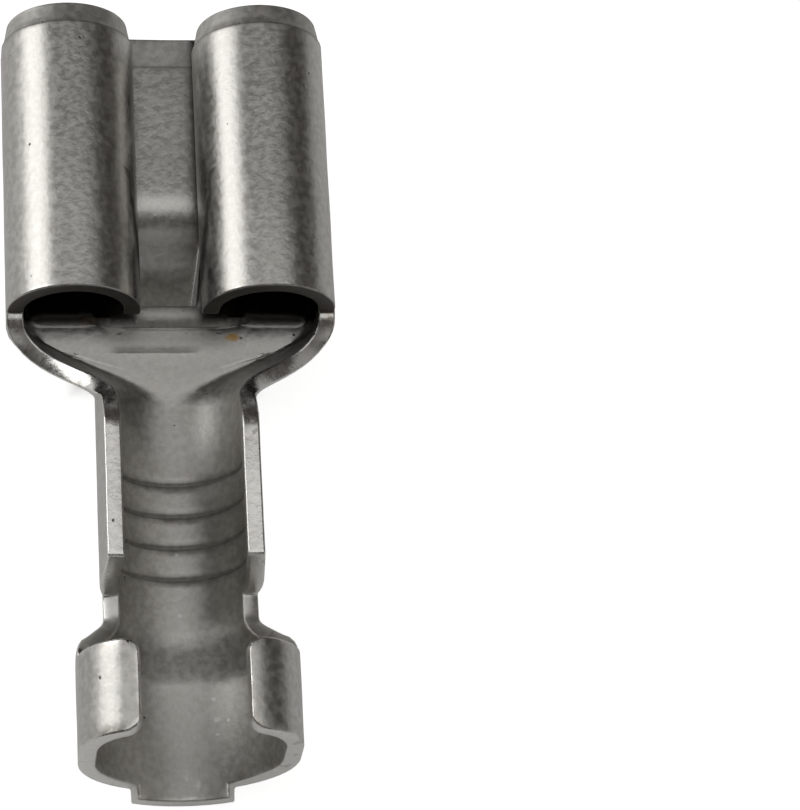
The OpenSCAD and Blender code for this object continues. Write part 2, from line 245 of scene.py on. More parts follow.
@dataclass
class Receptacle:
    """The rolled part that takes the tab: floor, bends, side walls and curls."""

    half_width: float
    curl_top: float = 2.0625
    length: float = 7.4
    curl_gap: float = 1.45
    bend_outer: float = 0.85
    floor_bottom: float = -0.94
    lip_z: float = 0.3
    panel_half_width: float = 2.3
    panel_length: float = 7.25
    panel_corner: float = 1.1
    panel_rise: float = 0.14
    panel_slope: float = 0.16
    mouth_band: float = 0.55
    mouth_depth: float = 0.13
    mouth_step: float = 0.03
    mouth_step_length: float = 0.06
    slot_half: float = 0.34
    slot_y: Pair = (1.94, 4.37)
    slot_outer: float = 3.45
    window: Pair = (3.97, 6.87)
    level_start: float = 5.0
    level_blend: float = 0.6
    # Strength and reach of the shade painted along the band's rear edge and on the floor's rear.
    line_dark: float = 0.5
    veil_dark: float = 0.36
    veil_end: float = 7.6
    veil_half: float = 1.0
    edge_column: float = 1.0
    edge_shift: float = 0.05
    stub_length: float = 0.22
    notch_column: float = 2.429
    bend_steps: tuple[int, int] = (5, 6)
    wall_steps: int = 3
    curl_steps: int = 30
    row_step: float = 0.2
    first_row: float = 0.04
    band_rows: tuple[float, ...] = (-0.06, 0.0, 0.04, 0.1)
    slot_rows: tuple[float, ...] = (0.42, 0.74, 0.92, 1.0)
    panel_rows: tuple[float, ...] = (-0.12, 0.0, 0.1)
    columns: tuple[float, ...] = (
        0.17, 0.34, 0.51, 0.68, 0.84, 1.0, 1.14, 1.28, 1.42, 1.56, 1.7, 1.84, 1.979,
        2.1, 2.18, 2.24, 2.3, 2.36, 2.55, 2.7, 2.86,
    )

    def __post_init__(self) -> None:
        """Works out the section's centres and radii on the middle surface."""
        self.floor = self.floor_bottom + HALF_SHEET
        self.bend_radius = self.bend_outer - HALF_SHEET
        self.bend_x = self.half_width - self.bend_outer
        self.bend_z = self.floor_bottom + self.bend_outer
        curl_outer = (2 * self.half_width - self.curl_gap) / 4
        self.curl_radius = curl_outer - HALF_SHEET
        self.curl_x = self.half_width - curl_outer
        self.curl_z = self.curl_top - curl_outer
        self.wall_x = self.half_width - HALF_SHEET
        self.bend_length = self.bend_radius * math.pi / 2
        self.run = self.bend_x + self.bend_length + self.curl_z - self.bend_z

    def roll(self) -> Bench:
        """Rolls the right half of the section and cuts it into rows and columns.

        Returns:
            The bench, with the rolled sheet on it.
        """
        bench = Bench(
            "terminal_sheet",
            Vector((0, -self.length, self.floor)),
            Vector((self.bend_x, 0, self.floor)),
        )
        end = self.slot_end_degrees(self.slot_outer)
        bench.choose(Pick.EDGES, lambda p: p.x > self.bend_x - CLOSE)
        for degrees, steps in zip((end, 90 - end), self.bend_steps):
            bench.spin((self.bend_x, self.bend_z), degrees, steps)
        for _ in range(self.wall_steps):
            bench.extrude((0, 0, (self.curl_z - self.bend_z) / self.wall_steps))
        bench.spin((self.curl_x, self.curl_z), 180, self.curl_steps)
        bench.extrude((0, 0, self.lip_z - self.curl_z))
        for x in sorted(self.columns + (self.notch_column,)):
            bench.choose(Pick.FACES, lambda p: p.z < self.floor + CLOSE)
            bench.cut((x, 0, 0), (1, 0, 0))
        for distance in self.rows():
            bpy.ops.mesh.select_all(action="SELECT")
            bench.cut((0, -distance, 0), (0, 1, 0))
        mesh = bench.mesh()
        across = mesh.verts.layers.float["across"]
        for point in mesh.verts:
            point[across] = self.unrolled(point.co)
        return bench

    def slot_end_degrees(self, x: float) -> float:
        """Returns the angle round the bend at which the middle surface reaches x."""
        rise = min(1.0, max(0.0, (x - self.bend_x) / self.bend_radius))
        return math.degrees(math.asin(rise))

    def rows(self) -> list[float]:
        """Returns the distances from the mouth at which the sheet is cut into rows.

        Returns:
            The distances, in rising order.
        """
        marks = [self.first_row, *self.slot_y, *self.window]
        marks += [self.mouth_band + shift for shift in self.band_rows]
        marks += [self.panel_length + shift for shift in self.panel_rows]
        for middle in self.slot_y:
            for share in self.slot_rows:
                marks += [middle - share * self.slot_half, middle + share * self.slot_half]
        return spread(sorted(marks), self.row_step)

    def unrolled(self, p: Vector) -> float:
        """Returns the distance from the middle to a point, measured along the section.

        Args:
            p: place of a point of the sheet.

        Returns:
            The distance.
        """
        if p.x < self.bend_x + CLOSE and p.z < self.floor + CLOSE:
            return p.x
        if p.z < self.bend_z + CLOSE and p.x > self.bend_x:
            return self.bend_x + self.bend_radius * math.atan2(p.x - self.bend_x, self.bend_z - p.z)
        if p.z < self.curl_z + CLOSE and p.x > self.curl_x:
            return self.bend_x + self.bend_length + p.z - self.bend_z
        if p.z > self.curl_z:
            turn = math.atan2(p.z - self.curl_z, p.x - self.curl_x)
            return self.run + self.curl_radius * turn
        return self.run + self.curl_radius * math.pi + self.curl_z - p.z

    def slide(self, p: Vector) -> Vector:
        """Says how far a point of the bend slides so that a slot's end is round.

        Args:
            p: place of a point of the sheet.

        Returns:
            The shift.
        """
        off = min(abs(-p.y - middle) for middle in self.slot_y)
        on_bend = self.bend_x + CLOSE <= p.x and p.z <= self.bend_z - CLOSE
        angle = math.degrees(math.atan2(p.x - self.bend_x, self.bend_z - p.z))
        inner = self.slot_outer - self.slot_half
        start = self.slot_end_degrees(inner)
        if not on_bend or off >= self.slot_half - CLOSE or angle <= start - 0.5:
            return Vector()
        end = self.slot_end_degrees(inner + math.sqrt(self.slot_half**2 - off**2))
        turn = math.radians(mix(end, 90, (angle - start) / (90 - start)))
        x = self.bend_x + self.bend_radius * math.sin(turn)
        z = self.bend_z - self.bend_radius * math.cos(turn)
        return Vector((x - p.x, 0, z - p.z))

    def shape_slots(self, bench: Bench) -> None:
        """Cuts the two pairs of slots, with round ends in the bends.

        Args:
            bench: the sheet under work.
        """
        inner = self.slot_outer - self.slot_half
        for middle in self.slot_y:
            bench.delete_faces(
                lambda p: self.edge_column - CLOSE < p.x < inner + 0.01
                and p.z < self.bend_z
                and abs(-p.y - middle) < self.slot_half + CLOSE
            )
        bench.move(self.slide)
        bench.choose(
            Pick.POINTS,
            lambda p: same(p.x, self.edge_column)
            and (abs(-p.y - self.slot_y[0]) < self.slot_half + 0.01 or p.y > -CLOSE),
        )
        bpy.ops.transform.translate(value=(self.edge_shift, 0, 0))

    def panel(self, p: Vector) -> Vector:
        """Says how far the raised panel lifts a point of the floor.

        Args:
            p: place of a point of the sheet.

        Returns:
            The shift.
        """
        if p.z > self.floor + ON_FLOOR or p.x > self.bend_x + CLOSE:
            return Vector()
        x, y = abs(p.x), -p.y
        dx = x - (self.panel_half_width - self.panel_corner)
        dy = y - (self.panel_length - self.panel_corner)
        outside = math.hypot(max(dx, 0), max(dy, 0)) + min(max(dx, dy), 0) - self.panel_corner
        return Vector((0, 0, self.panel_rise * ease(0.5 - outside / self.panel_slope)))

    def level(self, p: Vector) -> Vector:
        """Says how far the floor's inner face is lifted beside the raised panel.

        On the inner face the step goes straight across the whole floor.

        Args:
            p: place of a point of the sheet.

        Returns:
            The shift.
        """
        y, lift = -p.y, self.panel(Vector((p.x, p.y, self.floor))).z
        above = self.floor + lift <= p.z <= self.bend_z
        if not above or not self.level_start <= y <= self.length:
            return Vector()
        across = 1 - ease((abs(p.x) - self.bend_x) / 0.4)
        back = 1 - ease((y - self.panel_length + 0.06) / 0.12)
        full = self.panel_rise * across * back * ease((y - self.level_start) / self.level_blend)
        return Vector((0, 0, max(0.0, full - lift)))

    def outward(self, p: Vector) -> tuple[float, Vector]:
        """Says on which face of the sheet a point lies.

        Args:
            p: a point of the thick sheet, on either side of the middle.

        Returns:
            From -1 on the inner face to 1 on the outer one, and the way out.
        """
        x, side = abs(p.x), math.copysign(1, p.x)
        if p.z > self.curl_z:
            way = Vector((x - self.curl_x, 0, p.z - self.curl_z))
            gap = way.length - self.curl_radius
        elif x > self.bend_x and p.z > self.bend_z:
            way, gap = Vector((1, 0, 0)), x - self.wall_x
        elif p.z > self.lip_z - 0.2 and x < self.curl_x:
            way, gap = Vector((-1, 0, 0)), self.curl_x - self.curl_radius - x
        elif x > self.bend_x:
            way = Vector((x - self.bend_x, 0, p.z - self.bend_z))
            gap = way.length - self.bend_radius
        else:
            middle = self.floor + self.panel(Vector((x, p.y, self.floor))).z
            way, gap = Vector((0, 0, -1)), middle - p.z
        way = way.normalized()
        return max(-1.0, min(1.0, gap / HALF_SHEET)), Vector((way.x * side, 0, way.z))

    def inside(self, p: Vector) -> float:
        """Says how far a point lies on the faces hidden under the curls, where shade is painted,
        from 0 to 1.

        Args:
            p: place of a point of the sheet.

        Returns:
            The share.
        """
        x = abs(p.x)
        if p.z > self.curl_z:
            turned = self.curl_radius - math.hypot(x - self.curl_x, p.z - self.curl_z)
        elif p.z > self.bend_z:
            turned = self.wall_x - x if x > self.curl_x else x - (self.curl_x - self.curl_radius)
        elif x > self.bend_x:
            turned = self.bend_radius - math.hypot(x - self.bend_x, p.z - self.bend_z)
        else:
            turned = p.z - self.floor - self.panel(Vector((x, p.y, self.floor))).z
            turned = min(turned, 0.8 * (x - self.curl_gap / 2 + 0.1))
        if p.z < self.floor - HALF_SHEET:
            return 0.0
        depth = ease((self.panel_length + 0.12 + p.y) / 0.06)
        return ease(turned / HALF_SHEET) * depth

    def coined(self, p: Vector) -> float:
        """Returns 1 in the coined band, 0 behind it."""
        return ease((p.y + self.mouth_band + 0.05) / 0.1)

    def painted_edge_shade(self, p: Vector) -> float:
        """Says how much shade is painted on the band's rear edge, the curls' rear ends and the
        floor's rear.

        Args:
            p: place of a point of the sheet.

        Returns:
            The painted shade, from 0 to 1.
        """
        x, y = abs(p.x), -p.y
        line = 1 - ease((abs(y - self.mouth_band) - 0.01) / 0.05)
        ring, veil = 0.0, 0.0
        on_curl = p.z >= self.curl_z or self.lip_z - 0.2 <= p.z and x <= self.curl_x
        if on_curl and y <= self.length + 0.05:
            ring = ease((y - self.length + 0.04) / 0.03)
        if self.floor < p.z < self.bend_z and self.panel_length - 0.4 < y:
            veil = (1 - ease((y - self.veil_end) / 0.5)) * (1 - ease(x - self.veil_half))
        return max(self.line_dark * line, ring, self.veil_dark * veil)

    def coin(self, p: Vector) -> Vector:
        """Says how far the mouth's coined band pushes a point in.

        Args:
            p: place of a point of the sheet.

        Returns:
            The shift.
        """
        if p.y < -self.mouth_band:
            return Vector()
        out, way = self.outward(p)
        depth = self.mouth_step * ease((p.y + self.mouth_band) / self.mouth_step_length)
        depth += (self.mouth_depth - self.mouth_step) * min(1.0, 1 + p.y / self.mouth_band)
        return way * (-depth * (out + 1) / 2)


@dataclass
class LockingTongue:
    """The tongue that is lanced out of the floor and bent down."""

    receptacle: Receptacle
    length: float = 3.02
    root_half: float = 1.0
    tip_half: float = 0.68
    blend_to: float = 1.979
    degrees: float = 42.0
    bend_radius: float = 1.2
    bend_steps: int = 5
    straight_step: float = 0.22
    corner: float = 0.15
    first_draw: float = 0.02
    taper_end: float = 0.5

    def __post_init__(self) -> None:
        """Takes the window's ends and the floor's height from the receptacle."""
        self.root, self.window_end = self.receptacle.window
        self.floor = self.receptacle.floor

    def share(self, p: Vector) -> float:
        """Returns the share of the window's length that lies in front of a point."""
        return (-p.y - self.root) / (self.window_end - self.root)

    def taper(self, p: Vector) -> Vector:
        """Says how far the window's taper draws a point of the floor inwards.

        Args:
            p: place of a point of the sheet.

        Returns:
            The shift.
        """
        y = -p.y
        if p.z > self.floor + ON_FLOOR or p.x > self.blend_to or y <= self.root:
            return Vector()
        share = self.share(p)
        if y >= self.window_end + CLOSE:
            share = max(0.0, 1 - (y - self.window_end) / self.taper_end)
        draw = (self.root_half - self.tip_half) * share
        if p.x <= self.root_half + CLOSE:
            return Vector((-draw * p.x / self.root_half, 0, 0))
        return Vector((-draw * (self.blend_to - p.x) / (self.blend_to - self.root_half), 0, 0))

    def rim(self, p: Vector) -> float:
        """Says how far a point lies on the window's side rims, where shade is painted, from 0 to 1.

        Args:
            p: place of a point of the sheet.

        Returns:
            The share.
        """
        beside = self.root + 0.1 < -p.y < self.window_end - 0.02
        if not beside or p.z < self.floor - HALF_SHEET:
            return 0.0
        edge = mix(self.root_half, self.tip_half, self.share(p))
        return 1 - ease((abs(abs(p.x) - edge) - 0.03) / 0.05)

    def lance(self, bench: Bench) -> None:
        """Opens the window in the floor and draws its sides in.

        Args:
            bench: the sheet under work.
        """
        bench.delete_faces(
            lambda p: p.x < self.root_half + CLOSE
            and p.z < self.floor + ON_FLOOR
            and self.root - CLOSE < -p.y < self.window_end + CLOSE
        )
        bench.move(self.taper)

    def width(self, run: float) -> float:
        """Returns the tongue's half width at a run along it from the root."""
        start = self.root_half - self.first_draw if run else self.root_half
        return mix(start, self.tip_half, run / self.length)

    def draw(self, bench: Bench) -> None:
        """Bends the tongue down from the window's front edge.

        Args:
            bench: the sheet under work.
        """
        level = self.floor + self.receptacle.panel_rise
        bench.choose(
            Pick.EDGES,
            lambda p: same(-p.y, self.root)
            and p.x < self.root_half + CLOSE
            and p.z < level + 0.1,
        )
        slope = math.radians(self.degrees)
        turn, arc = slope / self.bend_steps, self.bend_radius * slope
        chord = 2 * self.bend_radius * math.sin(turn / 2)
        pulls = [(arc / self.bend_steps, chord, turn * (i + 0.5)) for i in range(self.bend_steps)]
        straight = self.length - arc
        stops = spread([0, straight - 0.2, straight], self.straight_step)
        pulls += [(end - start, end - start, slope) for start, end in zip(stops, stops[1:])]
        run = 0.0
        for step, reach, angle in pulls:
            bench.extrude((0, -reach * math.cos(angle), -reach * math.sin(angle)))
            narrower = self.width(run + step) / self.width(run)
            bpy.ops.transform.resize(value=(narrower, 1, 1), center_override=(0, 0, 0))
            run += step
        tip = min(v.co.z for v in bench.mesh().verts)
        bench.round_corners(
            lambda p: p.z < tip + CLOSE and p.x > self.tip_half - CLOSE, self.corner
        )


@dataclass
class Barrel:
    """An open barrel: its ends along the terminal, its axis height and inner radius."""

    front: float
    rear: float
    axis: float
    inner: float

    @property
    def radius(self) -> float:
        """Radius of the sheet's middle surface."""
        return self.inner + HALF_SHEET

    @classmethod
    def from_mount(cls, record: dict, name: str) -> "Barrel":
        """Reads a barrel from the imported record.

        Args:
            record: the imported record.
            name: name of the barrel's mount.

        Returns:
            The barrel, in millimetres.
        """
        mount = next(m for m in record["mounts"] if m["name"] == name)
        place = [value / MM for value in mount["pos_m"]]
        length, inner = mount["dims"]["length_mm"], mount["dims"]["r_mm"]
        return cls(-place[1] - length / 2, -place[1] + length / 2, place[2], inner)


@dataclass
class ConductorBarrel:
    """The barrel that is crimped on the bare wire, and the shoulder in front of it."""

    barrel: Barrel
    receptacle: Receptacle
    lean: float = 4.0
    wing: float = 1.46
    wing_slope: float = 0.3
    shoulder_start: float = 7.95
    neck_level: float = 0.95
    neck_lead: float = 0.33
    early_fall: float = 0.4
    bowl_start: float = 7.5
    bowl_end: float = 9.3
    low_top: float = 0.11
    wall_fall: float = 0.35
    wall_rise: float = 2.5
    rise_lag: float = 0.5
    notch_wall: float = 1.35
    row_step: float = 0.16
    crease_rows: tuple[float, ...] = (-0.06, -0.03, 0.0, 0.03, 0.06)
    serration_rows: tuple[float, ...] = (-1.6, -0.9, -0.35, 0.35, 0.9, 1.6)
    serrations: int = 4
    serration_middle: float = 12.45
    serration_pitch: float = 0.78
    serration_half: float = 0.048
    serration_depth: float = 0.05
    serration_rise: float = 0.9
    serration_fade: float = 0.25
    crease_half: float = 0.05
    crease_depth: float = 0.02
    crease_middle: float = -0.33
    crease_reach: float = 0.8
    crease_fade: float = 0.4

    def section(self, share: float, distance: float) -> Pair:
        """Gives a point of the shoulder's or the trough's middle surface.

        Args:
            share: 0 at the middle, 1 at the lip.
            distance: distance from the mouth.

        Returns:
            Its x and z.
        """
        receptacle, barrel = self.receptacle, self.barrel
        behind = distance - receptacle.length
        room = barrel.front - receptacle.length
        past_shoulder = distance - self.shoulder_start
        narrow = ease((past_shoulder + self.neck_lead) / (barrel.front - self.shoulder_start))
        rounder = ease((distance - self.bowl_start) / (self.bowl_end - self.bowl_start))
        down = min(1.0, behind / (room - self.neck_level))
        fall = mix(ease(down), math.sin(down * math.pi / 2), self.early_fall)
        lower = ease(behind / (self.shoulder_start - receptacle.length + self.wall_fall))
        rise = ease(1 + (distance - barrel.front - self.rise_lag) / self.wall_rise)
        flat = receptacle.bend_x * (1 - rounder)
        radius = mix(receptacle.bend_radius, barrel.radius, rounder)
        bottom = mix(receptacle.floor, barrel.axis - barrel.radius, fall)
        leaning = barrel.radius - self.wing * math.tan(math.radians(self.lean))
        lip_x = mix(receptacle.wall_x, leaning, narrow)
        top = mix(mix(receptacle.curl_z, self.low_top, lower), barrel.axis + self.wing, rise)
        out, up = lip_x - flat, top - bottom - radius
        away = math.hypot(out, up)
        reach = math.pi / 2 + math.atan2(up, out) - math.acos(min(1.0, radius / away))
        wall = math.sqrt(max(0.0, away**2 - radius**2))
        run = share * (flat + radius * reach + wall)
        turn = min(reach, max(0.0, (run - flat) / radius))
        rest = max(0.0, run - flat - radius * reach)
        x = min(run, flat) + radius * math.sin(turn) + rest * math.cos(reach)
        z = bottom + radius * (1 - math.cos(turn)) + rest * math.sin(reach)
        return x, z

    def rows(self) -> list[float]:
        """Returns the distances from the mouth of the rows behind the receptacle.

        Returns:
            The distances, in rising order.
        """
        marks = [self.receptacle.length]
        marks += [self.shoulder_start + shift for shift in self.crease_rows]
        marks.append(self.barrel.front)
        for middle in self.middles():
            marks += [middle + share * self.serration_half for share in self.serration_rows]
        return spread(marks + [self.barrel.rear], self.row_step)[1:]

    def middles(self) -> list[float]:
        """Returns the serrations' distances from the mouth.

        Returns:
            The distances, in rising order.
        """
        first = (1 - self.serrations) / 2
        return [
            self.serration_middle + (first + i) * self.serration_pitch
            for i in range(self.serrations)
        ]

    def draw(self, bench: Bench) -> None:
        """Draws the shoulder and the trough out of the receptacle's rear edge.

        Args:
            bench: the sheet under work.
        """
        r = self.receptacle
        bench.choose(
            Pick.EDGES,
            lambda p: p.y < -r.length + CLOSE
            and (p.z < r.floor + 0.01 or p.x > r.curl_x and p.z < r.curl_z + CLOSE),
        )
        for distance in self.rows():
            bench.add_row(distance, lambda s: self.section(s / r.run, distance))

    def slope(self, p: Vector) -> Vector:
        """Says how far the wings' rear edges lean forward at a point.

        Args:
            p: place of a point of the sheet.

        Returns:
            The shift.
        """
        low = self.barrel.axis - self.barrel.inner - SHEET + self.notch_wall
        behind = ease(-p.y - self.barrel.rear + 1)
        top = self.barrel.axis + self.wing
        if p.z < low or behind == 0 or -p.y > self.barrel.rear + CLOSE:
            return Vector()
        return Vector((0, self.wing_slope * behind * (p.z - low) / (top - low), 0))

    def groove(self, p: Vector) -> float:
        """Says how deep a point lies in a serration, from 0 to 1.

        Args:
            p: place of a point of the sheet.

        Returns:
            The share.
        """
        gap = min(abs(-p.y - middle) for middle in self.middles())
        if gap > self.serration_pitch / 2:
            return 0.0
        height = p.z - self.barrel.axis
        reach = math.hypot(p.x, min(0.0, height))
        inner = max(0.0, min(1.0, (self.barrel.radius - reach + 0.02) / HALF_SHEET))
        if height > 0:
            inner = 1.0 if abs(p.x) < self.barrel.radius - 0.1 * height - 0.05 else 0.0
        fade = 1 - ease((height - self.serration_rise) / self.serration_fade + 1)
        return (1 - ease(gap / self.serration_half - 0.35)) * inner * fade

    def serrate(self, p: Vector) -> Vector:
        """Says how far a serration pushes a point of the trough's inner face out."""
        way = Vector((p.x, 0, min(0.0, p.z - self.barrel.axis)))
        return way.normalized() * (self.serration_depth * self.groove(p))

    def crease(self, p: Vector) -> float:
        """Says how far a point lies in the crease across the neck's floor, from 0 to 1.

        Args:
            p: place of a point of the sheet.

        Returns:
            The share.
        """
        gap = abs(-p.y - self.shoulder_start)
        above = p.z - self.receptacle.floor
        if gap > self.crease_half or not 0 <= above <= 0.5:
            return 0.0
        beyond = abs(p.x - self.crease_middle) - self.crease_reach
        return (1 - ease(gap / self.crease_half)) * (1 - ease(beyond / self.crease_fade))

    def fold(self, p: Vector) -> Vector:
        """Returns how far the crease lowers a point of the inner face."""
        return Vector((0, 0, -self.crease_depth * self.crease(p)))


@dataclass
class InsulationBarrel:
    """The barrel that is crimped on the wire's insulation, and the flare in front of it."""

    barrel: Barrel
    conductor: ConductorBarrel
    opening: float = 64.0
    flare_reach: float = 104.0
    flare_lead: float = 0.6
    flare_lag: float = 0.25
    notch_length: float = 0.5
    wing_setback: float = 0.3
    wing_corner: float = 0.32
    rear_slope: float = 0.2
    wing_radius: float = 1.25
    wing_height: float = 1.95
    tip_degrees: float = 6.7
    wing_strips: int = 5
    strip_parts: int = 4
    row_step: float = 0.14
    wing_row_step: float = 0.36
    flatten_lead: float = 0.7
    stub_column: float = 0.68
    stub_length: float = 0.34

    def __post_init__(self) -> None:
        """Works out where the wings start and how far they roll."""
        self.wing_front = self.barrel.front + self.wing_setback
        self.column = self.conductor.receptacle.notch_column
        self.wing_turn = 180 - self.opening / 2 - self.flare_reach

    def section(self, share: float, distance: float) -> Pair:
        """Gives a point of the flare's or the barrel's middle surface.

        Args:
            share: 0 at the middle, 1 at the low wall's lip.
            distance: distance from the mouth.

        Returns:
            Its x and z.
        """
        trough = self.conductor.barrel
        behind = distance - trough.rear
        length = self.barrel.front - trough.rear
        end = length + self.flare_lag
        grow = ease((behind - self.flare_lead) / (end - self.flare_lead))
        rise = ease((behind - self.notch_length) / (end - self.notch_length))
        radius = mix(trough.radius, self.barrel.radius, grow)
        axis = mix(trough.axis, self.barrel.axis, grow)
        low = math.degrees(math.acos(1 - self.conductor.notch_wall / (trough.inner + SHEET)))
        turn = math.radians(mix(low, self.flare_reach, rise) * share)
        return radius * math.sin(turn), axis - radius * math.cos(turn)

    def draw(self, bench: Bench) -> None:
        """Draws the flare and the barrel's lower part, then its wings and the stub.

        Args:
            bench: the sheet under work.
        """
        trough = self.conductor.barrel
        lip = self.conductor.section(self.column / self.conductor.receptacle.run, trough.rear)
        bench.choose(
            Pick.EDGES, lambda p: same(-p.y, trough.rear) and p.z < lip[1] + CLOSE
        )
        marks = [trough.rear, self.barrel.front, self.wing_front]
        step, rear = self.wing_row_step, self.barrel.rear
        wing_marks = [self.wing_front, self.wing_front + step, rear - step, rear]
        for distance in spread(marks, self.row_step)[1:] + spread(wing_marks, step)[1:]:
            bench.add_row(distance, lambda s: self.section(s / self.column, distance))
        self.roll_wings(bench)
        self.draw_stub(bench)

    def roll_wings(self, bench: Bench) -> None:
        """Rolls the wing up from the low wall's lip, and rounds its corners.

        Args:
            bench: the sheet under work.
        """
        edge = self.section(1, self.barrel.rear)
        bench.choose(
            Pick.EDGES,
            lambda p: -p.y > self.wing_front - CLOSE
            and same(p.x, edge[0])
            and same(p.z, edge[1]),
        )
        bench.spin((0, self.barrel.axis), self.wing_turn, self.wing_strips)
        mesh = bench.mesh()
        across = mesh.verts.layers.float["across"]
        rolled = [v for v in mesh.verts if -v.co.y > self.wing_front - CLOSE]
        for point in rolled:
            turn = math.atan2(point.co.x, self.barrel.axis - point.co.z)
            point[across] = self.barrel.radius * turn
        top = max(point.co.z for point in rolled)
        bench.round_corners(
            lambda p: p.z > top - CLOSE
            and (same(-p.y, self.wing_front) or same(-p.y, self.barrel.rear)),
            self.wing_corner,
        )
        strip = self.wing_turn / self.wing_strips
        for i in range(self.wing_strips * self.strip_parts):
            if i % self.strip_parts:
                turn = math.radians(self.flare_reach + i * strip / self.strip_parts)
                bench.choose(
                    Pick.FACES,
                    lambda p: -p.y > self.wing_front - CLOSE and p.z > edge[1] - CLOSE,
                )
                bench.cut((0, 0, self.barrel.axis), (math.cos(turn), 0, math.sin(turn)))

    def draw_stub(self, bench: Bench) -> None:
        """Draws out the stub of the carrier strip behind the barrel.

        Args:
            bench: the sheet under work.
        """
        reach = self.section(self.stub_column / self.column, self.barrel.rear)[0]
        bench.choose(
            Pick.EDGES,
            lambda p: same(-p.y, self.barrel.rear) and p.x < reach + CLOSE and p.z < 0,
        )
        for _ in range(2):
            bench.extrude((0, -self.stub_length / 2, 0))

    def flatten(self, p: Vector) -> Vector:
        """Says how far the wings' tops are rolled flatter than a circle at a point.

        Args:
            p: place of a point of the sheet.

        Returns:
            The shift.
        """
        start = self.wing_front - self.flatten_lead
        if p.z < self.barrel.axis or -p.y < start:
            return Vector()
        turn = math.degrees(math.atan2(p.x, p.z - self.barrel.axis))
        share = (90 - turn) / (90 - self.opening / 2)
        straight = self.wing_height - self.wing_radius
        rolled = math.radians(90 - self.tip_degrees) * self.wing_radius
        run = share * (straight + rolled)
        turn = max(0.0, run - straight) / self.wing_radius
        x = self.barrel.radius - self.wing_radius * (1 - math.cos(turn))
        z = self.barrel.axis + min(run, straight) + self.wing_radius * math.sin(turn)
        return Vector((x - p.x, 0, z - p.z)) * ease((-p.y - start) / self.flatten_lead)

    def slope(self, p: Vector) -> Vector:
        """Says how far the wings' rear edges lean forward at a point.

        Args:
            p: place of a point of the sheet.

        Returns:
            The shift.
        """
        height = max(0.0, p.z - self.barrel.axis) / (self.barrel.inner + SHEET)
        behind = ease(-p.y - self.barrel.rear + 1)
        return Vector((0, self.rear_slope * behind * height, 0))


@dataclass(frozen=True)
class Burr:
    """A small burr on a sheared edge: its place, its pull and its reach."""

    place: Triple
    pulled: Triple
    reach: float

    def pull(self, p: Vector) -> Vector:
        """Returns how far the burr draws a point out."""
        near = (p - Vector(self.place)).length / self.reach
        return Vector(self.pulled) * (1 - ease(near))


